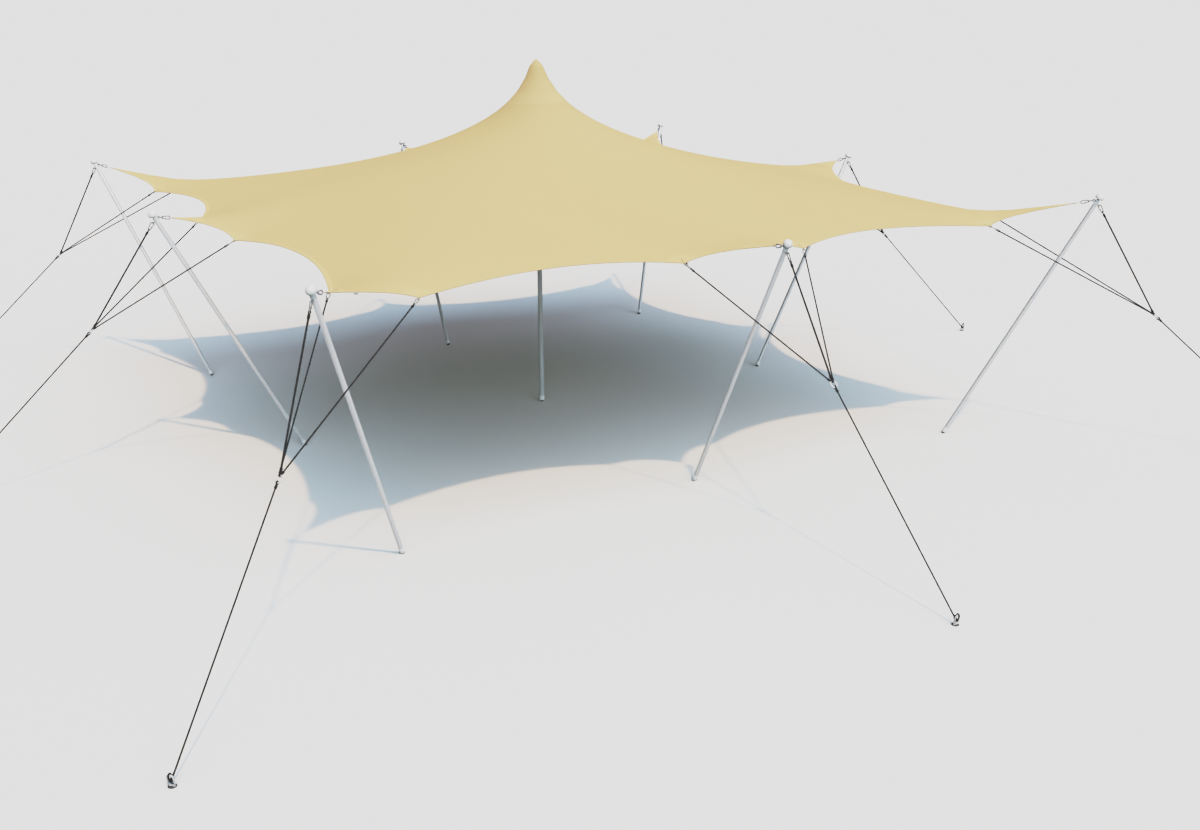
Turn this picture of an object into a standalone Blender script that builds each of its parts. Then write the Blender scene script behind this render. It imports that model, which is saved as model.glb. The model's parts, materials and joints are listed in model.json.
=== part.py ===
"""Stretch tent: one stretched membrane over a centre pole and eight leaning side poles.

The tent is square in plan. Eight alike stations stand round it, four at the
corners and four at the middles of the sides. Each station has a leaning pole
with a ball head, a three-legged guy bridle that meets at a ring, a guy rope
from the ring to the ground, and an eye stake. Metres, +Z up, the ground at
z = 0, the origin at the middle of the square.
"""
import math

import bmesh
import bpy
import numpy as np
from mathutils import Matrix, Vector

# ---------------------------------------------------------------- dimensions
# membrane
SKIN = 0.010               # thickness of the solid that stands for the cloth
PEAK = (-0.094, 0.112, 4.50)   # top of the membrane, over the centre pole
CAP_R = 0.085              # radius of the cone of cloth on the pole's cap
CAP_DROP = 0.085           # height of that cone
EDGE_LONG = 5              # divisions of the long scallop between stations
EDGE_SHORT = 2             # divisions of the short scallop beside a tip
RINGS = 8                  # rings of cloth between the cap and the edge
RING_GRADE = 1.6           # rings crowd towards the peak
EDGE_LONG_PULL = 2.196     # tension of the edge cord, long scallops
EDGE_SHORT_PULL = 0.604    # tension of the edge cord, short scallops
HOOP_RATIO = 0.441         # hoop tension of the cloth against its radial tension
RADIAL_POWER = -0.277      # how the cloth's tension falls off with radius

# poles
POLE_R = 0.025
CENTRE_POLE_R = 0.032
FOOT_R = 0.029             # ball cap on the foot of a side pole
CENTRE_FOOT_R = 0.037
FOOT_SINK = 0.0025         # how far a ball cap is flattened where it stands
HEAD_R = 0.0490            # ball knob at the pole's head
HEAD_CUT = 0.017           # flat underside of the knob, below its middle
COLLAR_R = 0.0265          # collar that holds the knob and the two eyes
COLLAR_LEN = 0.055
NECK_R = 0.020
NECK_LEN = 0.030
EYE_R = 0.013              # middle line of an eye
EYE_BAR = 0.0050
GAP = 0.0003               # between pieces that touch

# rigging
THICK_ROPE_R = 0.0100
THIN_ROPE_R = 0.0078
LINK_LEN = 0.090           # carabiner of a rope, over all
HEAD_LINK_LEN = 0.100      # carabiner of a pole's head, over all
STRAP_R = 0.0045           # cord between that carabiner and the cloth's tip
OVAL_W = 0.030             # oval link between the head's eye and that carabiner
OVAL_BAR = 0.004
LINK_W = 0.048
LINK_BAR = 0.006
RING_R = 0.034             # bridle ring, middle line
RING_BAR = 0.007
STAKE_W = 0.064            # eye of the stake, over all
STAKE_H = 0.112
STAKE_BAR = 0.007
STAKE_LEAN = math.radians(12)
STAKE_PLATE_R = 0.034
STAKE_PLATE_H = 0.008

# stations, in their own frame: x runs outwards, y along the side, z up
CORNER = dict(foot=5.148, head=(6.689, 3.020), tip=(6.430, 2.948),
              kink=(5.483, 0.445, 2.713), ring=(7.468, 1.652), stake=9.312, cord=0.055)
MIDDLE = dict(foot=3.437, head=(4.970, 2.980), tip=(4.767, 2.929),
              kink=(4.285, 0.754, 2.748), ring=(5.764, 1.755), stake=7.572, cord=0.012)
STATIONS = (("right", 0, MIDDLE), ("back_right", 45, CORNER),
            ("back", 90, MIDDLE), ("back_left", 135, CORNER),
            ("left", 180, MIDDLE), ("front_left", 225, CORNER),
            ("front", 270, MIDDLE), ("front_right", 315, CORNER))

# ---------------------------------------------------------------- clean start
for old in list(bpy.data.objects):
    bpy.data.objects.remove(old, do_unlink=True)
for block in (bpy.data.meshes, bpy.data.curves, bpy.data.materials):
    for old in list(block):
        block.remove(old)
for old in list(bpy.data.collections):
    bpy.data.collections.remove(old)

TENT = bpy.data.collections.new("stretch_tent")
TOOLS = bpy.data.collections.new("stretch_tent_cutters")
for col in (TENT, TOOLS):
    bpy.context.scene.collection.children.link(col)


def material(name, colour, roughness, metallic=0.0):
    mat = bpy.data.materials.new(name)
    mat.use_nodes = True
    bsdf = mat.node_tree.nodes["Principled BSDF"]
    bsdf.inputs["Base Color"].default_value = (*colour, 1.0)
    bsdf.inputs["Roughness"].default_value = roughness
    bsdf.inputs["Metallic"].default_value = metallic
    mat.diffuse_color = (*colour, 1.0)
    return mat


CLOTH = material("sand_membrane", (0.69, 0.58, 0.34), 0.85)
TUBE = material("pale_tube", (0.72, 0.73, 0.75), 0.35, 0.6)
WHITE = material("white_head", (0.86, 0.86, 0.86), 0.45)
BLACK = material("black_rope", (0.02, 0.02, 0.02), 0.9)
STEEL = material("galvanised_steel", (0.62, 0.63, 0.64), 0.4, 0.9)


# ---------------------------------------------------------------- small tools
def put(mesh, name, mat, parent=None, collection=TENT):
    obj = bpy.data.objects.new(name, mesh)
    collection.objects.link(obj)
    if mat is not None:
        mesh.materials.clear()
        mesh.materials.append(mat)
    if parent is not None:
        obj.parent = parent
    return obj


def baked(obj, matrix=None):
    """The evaluated mesh of a helper object, welded, and the helper removed."""
    bpy.context.view_layer.update()
    graph = bpy.context.evaluated_depsgraph_get()
    mesh = bpy.data.meshes.new_from_object(obj.evaluated_get(graph))
    bpy.data.objects.remove(obj, do_unlink=True)
    bm = bmesh.new()
    bm.from_mesh(mesh)
    bmesh.ops.remove_doubles(bm, verts=bm.verts, dist=0.00002)
    bmesh.ops.recalc_face_normals(bm, faces=bm.faces)
    if matrix is not None:
        bm.transform(matrix)
    bm.to_mesh(mesh)
    bm.free()
    return mesh


def turned(name, profile, steps, matrix=None):
    """A profile of (radius, height) points, top to bottom, turned about Z."""
    mesh = bpy.data.meshes.new(name)
    mesh.from_pydata([(r, 0.0, z) for r, z in profile],
                     [(i, i + 1) for i in range(len(profile) - 1)], [])
    obj = put(mesh, name, None, collection=TOOLS)
    screw = obj.modifiers.new("turn", "SCREW")
    screw.axis = "Z"
    screw.angle = 2 * math.pi
    screw.steps = steps
    screw.render_steps = steps
    screw.use_merge_vertices = True
    screw.merge_threshold = 0.00005
    return baked(obj, matrix)


def loop(name, points, radius, resolution=0):
    """A closed bar that follows the points."""
    curve = bpy.data.curves.new(name, "CURVE")
    curve.dimensions = "3D"
    curve.bevel_depth = radius
    curve.bevel_resolution = resolution
    spline = curve.splines.new("POLY")
    spline.points.add(len(points) - 1)
    for slot, p in zip(spline.points, points):
        slot.co = (*p, 1.0)
    spline.use_cyclic_u = True
    obj = bpy.data.objects.new(name, curve)
    TOOLS.objects.link(obj)
    return baked(obj)


def along(start, end):
    """Matrix that carries +Z at the origin to the line start -> end."""
    start, end = Vector(start), Vector(end)
    turn = (end - start).to_track_quat("Z", "Y")
    return Matrix.LocRotScale(start, turn, None)


def joined(name, meshes):
    """Exact union of closed meshes into one closed mesh."""
    base = put(meshes[0], name, None, collection=TOOLS)
    for i, mesh in enumerate(meshes[1:]):
        other = put(mesh, f"{name}_tool_{i}", None, collection=TOOLS)
        other.hide_render = True
        other.display_type = "WIRE"
        cut = base.modifiers.new(f"join_{i}", "BOOLEAN")
        cut.operation = "UNION"
        cut.solver = "EXACT"
        cut.object = other
    bpy.context.view_layer.update()
    mesh = baked(base)
    for obj in [o for o in TOOLS.objects if o.name.startswith(f"{name}_tool_")]:
        bpy.data.objects.remove(obj, do_unlink=True)
    return mesh


def stadium(centre, length_axis, width_axis, length, width, bar, ends=3):
    """Middle line of a link with straight sides and round ends."""
    centre, u, v = Vector(centre), Vector(length_axis), Vector(width_axis)
    r = width / 2 - bar
    h = length / 2 - bar - r
    pts = []
    for side in (1, -1):
        for k in range(ends + 1):
            a = math.pi * (k / ends) - math.pi / 2
            pts.append(centre + side * (u * (h + r * math.cos(a)) + v * (r * math.sin(a))))
    return pts


def circle(centre, u, v, r, count):
    centre, u, v = Vector(centre), Vector(u), Vector(v)
    return [centre + r * (u * math.cos(a) + v * math.sin(a))
            for a in (2 * math.pi * (k + 0.5) / count for k in range(count))]


# ---------------------------------------------------------------- membrane
def edge_points():
    """The edge of the cloth: kink, tip, kink at each station, anticlockwise."""
    points = []
    for _, degrees, s in STATIONS:
        a = math.radians(degrees)
        out, side = np.array((math.cos(a), math.sin(a))), np.array((-math.sin(a), math.cos(a)))
        kr, kt, kz = s["kink"]
        tr, tz = s["tip"]
        points.append((*(out * kr - side * kt), kz))
        points.append((*(out * tr), tz))
        points.append((*(out * kr + side * kt), kz))
    return np.array(points)


def form_find(long_div, short_div, rings, passes=3):
    """Shape of the tensioned net: rings of points from the cap to the edge.

    Every free point is in balance under the tension of its links. The links'
    stiffness comes from the cloth's width round them, found again each pass.
    The balance is a block tridiagonal system, one block a ring.
    """
    posts = edge_points()
    edge, held, long_seg = [], [], []
    for i, p in enumerate(posts):
        q = posts[(i + 1) % len(posts)]
        n = long_div if i % 3 == 2 else short_div
        for k in range(n):
            edge.append(p + (q - p) * k / n)
            held.append(k == 0)
            long_seg.append(i % 3 == 2)
    edge, held, long_seg = np.array(edge), np.array(held), np.array(long_seg)
    centre = np.array(PEAK[:2])
    reach = edge[:, :2] - centre
    dist = np.hypot(reach[:, 0], reach[:, 1])
    unit = reach / dist[:, None]
    top = PEAK[2] - CAP_DROP
    net = np.zeros((rings + 1, len(edge), 3))
    for j in range(rings + 1):
        s = (j / rings) ** RING_GRADE
        net[j, :, :2] = centre + unit * (CAP_R + (dist - CAP_R) * s)[:, None]
        net[j, :, 2] = top + (edge[:, 2] - top) * s
    count = len(edge)
    ring = np.arange(count)
    after = np.roll(ring, -1)
    for _ in range(passes):
        def spread(mid):
            r = np.hypot(mid[..., 0] - centre[0], mid[..., 1] - centre[1])
            return np.maximum(r, 0.05) ** RADIAL_POWER
        # links between rings
        mid = 0.5 * (net[:-1] + net[1:])
        length = np.linalg.norm(net[1:] - net[:-1], axis=2)
        width = 0.5 * np.linalg.norm(np.roll(mid, -1, 1) - np.roll(mid, 1, 1), axis=2)
        radial = width / length * spread(mid)
        # links along each ring
        nxt = np.roll(net, -1, 1)
        mid = 0.5 * (net + nxt)
        length = np.linalg.norm(nxt - net, axis=2)
        width = np.zeros_like(length)
        width[1:-1] = 0.5 * np.linalg.norm(mid[2:] - mid[:-2], axis=2)
        width[-1] = 0.5 * np.linalg.norm(mid[-1] - mid[-2], axis=1)
        hoop = HOOP_RATIO * width / length * spread(mid)
        pull = np.where(long_seg, EDGE_LONG_PULL, EDGE_SHORT_PULL)
        hoop[-1] += pull / length[-1] * 5.0 ** RADIAL_POWER
        # forward sweep
        gain, load = [None], [net[0].copy()]
        for j in range(1, rings + 1):
            outer = radial[j] if j < rings else np.zeros(count)
            block = np.diag(radial[j - 1] + outer + hoop[j] + np.roll(hoop[j], 1))
            block[ring, after] -= hoop[j]
            block[after, ring] -= hoop[j]
            if j == 1:
                right = radial[0][:, None] * net[0]
            else:
                block -= radial[j - 1][:, None] * gain[j - 1] * radial[j - 1][None, :]
                right = radial[j - 1][:, None] * load[j - 1]
            if j == rings:
                block[held] = 0.0
                block[held, ring[held]] = 1.0
                right = np.where(held[:, None], edge, right)
            inverse = np.linalg.inv(block)
            gain.append(inverse)
            load.append(inverse @ right)
        # backward sweep
        net[rings] = load[rings]
        for j in range(rings - 1, 0, -1):
            net[j] = gain[j] @ (radial[j][:, None] * net[j + 1]) + load[j]
    return net


def build_membrane():
    net = form_find(EDGE_LONG, EDGE_SHORT, RINGS)
    rings, count = net.shape[:2]
    bm = bmesh.new()
    apex = bm.verts.new(PEAK)
    rows = [[bm.verts.new(p) for p in row] for row in net]
    for i in range(count):
        k = (i + 1) % count
        bm.faces.new((apex, rows[0][i], rows[0][k]))
        for j in range(rings - 1):
            a, b, c, d = rows[j][i], rows[j + 1][i], rows[j + 1][k], rows[j][k]
            if (a.co - c.co).length < (b.co - d.co).length:
                bm.faces.new((a, b, c))
                bm.faces.new((a, c, d))
            else:
                bm.faces.new((a, b, d))
                bm.faces.new((b, c, d))
    mesh = bpy.data.meshes.new("canopy")
    bm.to_mesh(mesh)
    bm.free()
    obj = put(mesh, "canopy", CLOTH)
    shell = obj.modifiers.new("thickness", "SOLIDIFY")
    shell.thickness = SKIN
    shell.offset = 0.0
    return obj


# ---------------------------------------------------------------- poles
def ball_foot(radius, tube, centre_s, steps=3):
    """Lower end of a pole: tube, step, band and ball, top to bottom."""
    pts = [(tube, centre_s + 0.050), (radius, centre_s + 0.047), (radius, centre_s)]
    for k in range(1, steps + 1):
        a = 0.5 * math.pi * k / steps
        pts.append((radius * math.cos(a), centre_s - radius * math.sin(a)))
    pts[-1] = (0.0, centre_s - radius)
    return pts


def stand_flat(mesh):
    """Cuts what reaches below the ground and closes the cut with a flat face."""
    bm = bmesh.new()
    bm.from_mesh(mesh)
    bmesh.ops.bisect_plane(bm, geom=bm.verts[:] + bm.edges[:] + bm.faces[:], dist=0.00001,
                           plane_co=(0, 0, 0), plane_no=(0, 0, 1), clear_inner=True)
    rim = [e for e in bm.edges if e.is_boundary]
    bmesh.ops.edgenet_fill(bm, edges=rim)
    bmesh.ops.recalc_face_normals(bm, faces=bm.faces)
    bm.to_mesh(mesh)
    bm.free()
    return mesh


def pole_frame(s):
    """Foot, head, unit axis and the unit vector square to it, towards the tent."""
    foot = Vector((s["foot"], 0.0, 0.0))
    head = Vector((s["head"][0], 0.0, s["head"][1]))
    axis = (head - foot).normalized()
    inward = Vector((-axis.z, 0.0, axis.x))
    return foot, head, axis, inward


def side_pole(name, s):
    foot, head, axis, _ = pole_frame(s)
    length = (head - foot).length
    top = length - NECK_LEN - 0.009 - COLLAR_LEN - GAP
    centre_s = (FOOT_R - FOOT_SINK) / axis.z
    profile = [(0.0, top), (POLE_R, top)]
    profile += ball_foot(FOOT_R, POLE_R, centre_s)
    return stand_flat(turned(name, profile, 10, along(foot, head)))


def pole_head(name, s):
    """Ball knob on a neck and a collar, with an eye on each side of the collar."""
    foot, head, axis, inward = pole_frame(s)
    side = Vector((0.0, 1.0, 0.0))
    low = -0.009 - NECK_LEN
    under = -math.asin(HEAD_CUT / HEAD_R)
    profile = [(0.0, HEAD_R)]
    for k in range(4):
        a = math.radians(60) + (under - math.radians(60)) * k / 3
        profile.append((HEAD_R * math.cos(a), HEAD_R * math.sin(a)))
    profile += [(NECK_R, -HEAD_CUT - 0.001), (NECK_R, low), (COLLAR_R, low - 0.002),
                (COLLAR_R, low - COLLAR_LEN), (0.0, low - COLLAR_LEN)]
    parts = [turned(name, profile, 10, along(head, head + axis))]
    reach = COLLAR_R + EYE_R - 0.001
    inner = head + axis * (low - 0.014) + inward * reach
    outer = head + axis * (low - 0.041) - inward * reach
    parts.append(loop(name + "_eye_in", circle(inner, inward, axis, EYE_R, 6), EYE_BAR))
    parts.append(loop(name + "_eye_out", circle(outer, inward, side, EYE_R, 6), EYE_BAR))
    # carabiner near the tip of the cloth, its face to the side, the oval link that holds it to the inner eye,
    # and the cord towards the tip
    tip = Vector((s["tip"][0], 0.0, s["tip"][1]))
    way = (tip - inner).normalized()
    far = tip - way * s["cord"]
    near = far - way * HEAD_LINK_LEN
    parts.append(loop(name + "_link", stadium((near + far) / 2, way, side.cross(way), HEAD_LINK_LEN,
                                              LINK_W, LINK_BAR), LINK_BAR))
    end = near + way * 0.021
    parts.append(loop(name + "_oval", stadium((inner + end) / 2, way, side, (end - inner).length,
                                              OVAL_W, OVAL_BAR), OVAL_BAR))
    start, end = far - way * LINK_BAR * 1.5, tip - way * 0.010
    length = (end - start).length
    parts.append(turned(name + "_cord", [(0.0, length), (STRAP_R, length), (STRAP_R, 0.0), (0.0, 0.0)],
                        6, along(start, end)))
    return joined(name, parts)


def outer_eye(s):
    foot, head, axis, inward = pole_frame(s)
    return head + axis * (-0.009 - NECK_LEN - 0.041) - inward * (COLLAR_R + EYE_R - 0.001)


# ---------------------------------------------------------------- rigging
def rope(name, start, end, radius, knot_a, knot_b, sides=6):
    """Straight rope along a line, with a knot of (radius, length) at each end."""
    start, end = Vector(start), Vector(end)
    length = (end - start).length
    (ra, la), (rb, lb) = knot_a, knot_b
    profile = [(0.0, length), (rb * 0.75, length), (rb, length - lb * 0.5), (radius, length - lb),
               (radius, la), (ra, la * 0.5), (ra * 0.75, 0.0), (0.0, 0.0)]
    return turned(name, profile, sides, along(start, end))


def rig_frame(s):
    """Ring centre, guy direction, and the two axes of the ring's own plane."""
    ring = Vector((s["ring"][0], 0.0, s["ring"][1]))
    knot = Vector((s["stake"] + 0.002, 0.0, 0.052))
    guy = (knot - ring).normalized()
    return ring, knot, guy, Vector((0.0, 1.0, 0.0))


def guy_bridle(name, s):
    """Ring with a thick rope to the pole's head and a thin rope to each kink."""
    ring, _, guy, side = rig_frame(s)
    parts = [loop(name + "_ring", circle(ring, guy, side, RING_R, 10), RING_BAR)]
    kr, kt, kz = s["kink"]
    starts = [(outer_eye(s), THICK_ROPE_R, (0.0145, 0.045), (0.0145, 0.040), EYE_R + EYE_BAR + LINK_BAR * 0.5),
              (Vector((kr, kt, kz)), THIN_ROPE_R, (0.0125, 0.034), (0.0125, 0.034), 0.010),
              (Vector((kr, -kt, kz)), THIN_ROPE_R, (0.0125, 0.034), (0.0125, 0.034), 0.010)]
    for i, (start, radius, knot_a, knot_b, clear) in enumerate(starts):
        way = (ring - start).normalized()
        flat = way - way.dot(guy.cross(side)) * guy.cross(side)
        end = ring - flat.normalized() * RING_R
        way = (end - start).normalized()
        across = side.cross(way) if i == 0 else way.cross(Vector((0, 0, 1))).normalized()
        near = start + way * clear
        middle = near + way * LINK_LEN / 2
        parts.append(loop(f"{name}_link_{i}", stadium(middle, way, across, LINK_LEN, LINK_W, LINK_BAR), LINK_BAR))
        parts.append(rope(f"{name}_rope_{i}", near + way * (LINK_LEN - 0.012), end + way * 0.004,
                          radius, knot_a, knot_b))
    return joined(name, parts)


def guy_rope(name, s):
    ring, knot, guy, _ = rig_frame(s)
    start = ring + guy * (RING_R + RING_BAR + GAP)
    return rope(name, start, knot + guy * 0.020, THIN_ROPE_R, (0.013, 0.060), (0.0155, 0.046))


def stake(name, s):
    """Eye of a ground stake on a round plate that lies on the ground."""
    base = Vector((s["stake"], 0.0, 0.0))
    up = Vector((math.sin(STAKE_LEAN), 0.0, math.cos(STAKE_LEAN)))
    side = Vector((0.0, 1.0, 0.0))
    middle = base + up * (STAKE_H / 2 + 0.001)
    bar = loop(name + "_eye", stadium(middle, up, side, STAKE_H, STAKE_W, STAKE_BAR), STAKE_BAR)
    plate = turned(name + "_plate", [(0.0, STAKE_PLATE_H), (STAKE_PLATE_R, STAKE_PLATE_H),
                                     (STAKE_PLATE_R, 0.0), (0.0, 0.0)],
                   12, Matrix.Translation(base))
    return joined(name, [plate, bar])


# ---------------------------------------------------------------- assembly
def assemble():
    build_membrane()
    top = PEAK[2] - CAP_DROP - 0.055
    profile = [(0.0, top), (CENTRE_POLE_R, top)]
    profile += ball_foot(CENTRE_FOOT_R, CENTRE_POLE_R, CENTRE_FOOT_R - FOOT_SINK)
    pole = put(stand_flat(turned("centre_pole", profile, 16)), "centre_pole", TUBE)
    pole.location = (PEAK[0], PEAK[1], 0.0)
    # cap: a low cone that fills the peak of the cloth, on a short skirt
    slack = SKIN / 2 + 0.0015
    slope = CAP_DROP / CAP_R
    lift = slack * math.hypot(1, slope)
    rim = CAP_R - 0.010
    profile = [(0.0, PEAK[2] - lift - 0.012), (0.016, PEAK[2] - lift - 0.017),
               (rim, PEAK[2] - lift - rim * slope), (rim, PEAK[2] - lift - rim * slope - 0.018),
               (0.040, PEAK[2] - lift - rim * slope - 0.030), (0.040, top + GAP), (0.0, top + GAP)]
    cap = put(turned("centre_pole_cap", profile, 16), "centre_pole_cap", WHITE)
    cap.location = (PEAK[0], PEAK[1], 0.0)

    makers = (("pole", side_pole, TUBE), ("pole_head", pole_head, WHITE),
              ("guy_bridle", guy_bridle, BLACK), ("guy_rope", guy_rope, BLACK),
              ("stake", stake, STEEL))
    shared = {}
    for kind, s in (("corner", CORNER), ("middle", MIDDLE)):
        for piece, maker, mat in makers:
            shared[kind, piece] = maker(f"{piece}_{kind}", s)
    for name, degrees, s in STATIONS:
        kind = "corner" if s is CORNER else "middle"
        hub = bpy.data.objects.new(f"station_{name}", None)
        hub.empty_display_size = 0.3
        hub.rotation_euler[2] = math.radians(degrees)
        TENT.objects.link(hub)
        for piece, _, mat in makers:
            obj = put(shared[kind, piece], f"{piece}_{name}", None, hub)
            mesh = obj.data
            if not mesh.materials:
                mesh.materials.append(mat)
            mesh.shade_smooth()
            mesh.set_sharp_from_angle(angle=math.radians(35))


assemble()
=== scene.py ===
"""Finish of the stretch tent: cloth, tubes, knobs, carabiners, ropes and ground eyes.

The membrane is form-found again on a fine net, with a folded hem, patches and
stitching. Each of the eight stations is made once for the corners and once for
the middles of the sides, in its own frame (x outwards, y along the side, z up),
and turned to its place. Metres.
"""
import json
import math

import bpy
import numpy as np
from mathutils import Matrix, Vector

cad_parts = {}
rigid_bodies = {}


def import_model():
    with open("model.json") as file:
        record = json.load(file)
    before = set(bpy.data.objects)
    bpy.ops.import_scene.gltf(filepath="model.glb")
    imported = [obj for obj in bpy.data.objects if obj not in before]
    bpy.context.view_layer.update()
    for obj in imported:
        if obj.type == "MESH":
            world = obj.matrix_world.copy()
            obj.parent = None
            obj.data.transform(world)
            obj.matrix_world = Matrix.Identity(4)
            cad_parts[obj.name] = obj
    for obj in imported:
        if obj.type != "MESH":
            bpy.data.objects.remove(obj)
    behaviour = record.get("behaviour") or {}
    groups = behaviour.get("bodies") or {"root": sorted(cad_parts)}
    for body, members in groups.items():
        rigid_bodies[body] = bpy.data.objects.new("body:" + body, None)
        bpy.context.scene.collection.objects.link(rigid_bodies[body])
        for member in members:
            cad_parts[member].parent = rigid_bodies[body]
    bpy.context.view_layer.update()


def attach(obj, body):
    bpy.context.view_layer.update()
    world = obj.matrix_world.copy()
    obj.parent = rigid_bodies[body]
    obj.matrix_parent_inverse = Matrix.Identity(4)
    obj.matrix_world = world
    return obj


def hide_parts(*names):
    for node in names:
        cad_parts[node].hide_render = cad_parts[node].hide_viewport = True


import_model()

# ---------------------------------------------------------------- dimensions
CLOTH_T = 0.0020           # thickness of the cloth
PEAK = (-0.094, 0.112, 4.50)
CAP_R = 0.085
CAP_DROP = 0.085
EDGE_LONG = 24
EDGE_SHORT = 10
RINGS = 56
RING_GRADE = 1.6
EDGE_LONG_PULL = 2.196
EDGE_SHORT_PULL = 0.604
HOOP_RATIO = 0.441
RADIAL_POWER = -0.277
HEM = 0.042                # width of the folded hem
PEAK_PATCH_R = 0.39

POLE_R = 0.025
CENTRE_POLE_R = 0.032
FOOT_R = 0.029
CENTRE_FOOT_R = 0.037
FOOT_SINK = 0.0025
HEAD_R = 0.0490
HEAD_CUT = 0.017
COLLAR_R = 0.0265
COLLAR_LEN = 0.055
NECK_R = 0.020
NECK_LEN = 0.030
EYE_R = 0.013
EYE_BAR = 0.0050
GAP = 0.0003

THICK_ROPE_R = 0.0100
THIN_ROPE_R = 0.0078
LINK_LEN = 0.090
HEAD_LINK_LEN = 0.100
LINK_W = 0.048
LINK_BAR = 0.006
STRAP_WIDTH = 0.013
EYELET_DEPTH = 0.040        # distance of the eyelet from the cloth's tip
CORD_R = 0.0025             # cord loop between a tip and its carabiner
OVAL_W = 0.030
OVAL_BAR = 0.004
RING_R = 0.034
RING_BAR = 0.007
STAKE_W = 0.064
STAKE_H = 0.112
STAKE_BAR = 0.007
STAKE_LEAN = math.radians(12)
STAKE_PLATE_R = 0.034
STAKE_PLATE_H = 0.008

CORNER = dict(foot=5.148, head=(6.689, 3.020), tip=(6.430, 2.948),
              kink=(5.483, 0.445, 2.713), ring=(7.468, 1.652), stake=9.312, cord=0.055)
MIDDLE = dict(foot=3.437, head=(4.970, 2.980), tip=(4.767, 2.929),
              kink=(4.285, 0.754, 2.748), ring=(5.764, 1.755), stake=7.572, cord=0.012)
STATIONS = (("right", 0, MIDDLE), ("back_right", 45, CORNER),
            ("back", 90, MIDDLE), ("back_left", 135, CORNER),
            ("left", 180, MIDDLE), ("front_left", 225, CORNER),
            ("front", 270, MIDDLE), ("front_right", 315, CORNER))

# ---------------------------------------------------------------- light values
# name, azimuth from +X, elevation, width in degrees, strength in red, green and blue
LAMPS = (("sun", 263.7, 56.9, 1.6, (0.805, 0.540, 0.320)),
         ("soft_front", 262.0, 45.0, 80.0, (0.755, 1.128, 1.395)),
         ("soft_back", 90.0, 66.0, 46.0, (0.110, 0.105, 0.125)),
         ("soft_low", 262.0, 32.0, 60.0, (0.240, 0.105, 0.035)),
         ("soft_right", 350.0, 30.0, 70.0, (0.127, 0.163, 0.203)))
CLOTH_LIGHT = (314.0, 78.0, 120.0, (3.70, 3.01, 2.44))
CLOTH_FRONT = (262.0, 30.0, 60.0, (0.86, 0.84, 1.00))
SKY_LIGHT = (0.028, 0.016, 0.012)
GROUND_LIGHT = (0.075, 0.100, 0.080)
BACKDROP = (1.20, 1.17, 1.17)
FILM_KNEE, FILM_TOP, FILM_WHITE = 0.42, 0.80, 2.4

# ---------------------------------------------------------------- camera
PITCH, YAW, ROLL = 0.31743215, 0.52534015, -0.00254745
EYE = (-8.023825, -15.142497, 5.44)
ahead = Vector((math.sin(YAW) * math.cos(PITCH), math.cos(YAW) * math.cos(PITCH), -math.sin(PITCH)))
across = Vector((math.cos(YAW), -math.sin(YAW), 0.0))
upward = across.cross(ahead)
right2 = math.cos(ROLL) * across + math.sin(ROLL) * upward
up2 = -math.sin(ROLL) * across + math.cos(ROLL) * upward
cam_data = bpy.data.cameras.new("view")
cam_data.sensor_fit = "HORIZONTAL"
cam_data.sensor_width = 36.0
cam_data.lens = 36.0 * 1324.2952517 / 1200.0
cam_data.clip_start = 0.1
cam_data.clip_end = 3000.0
camera = bpy.data.objects.new("view", cam_data)
camera.matrix_world = Matrix(((right2.x, up2.x, -ahead.x, EYE[0]),
                              (right2.y, up2.y, -ahead.y, EYE[1]),
                              (right2.z, up2.z, -ahead.z, EYE[2]),
                              (0.0, 0.0, 0.0, 1.0)))
bpy.context.scene.collection.objects.link(camera)
bpy.context.scene.camera = camera


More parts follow.
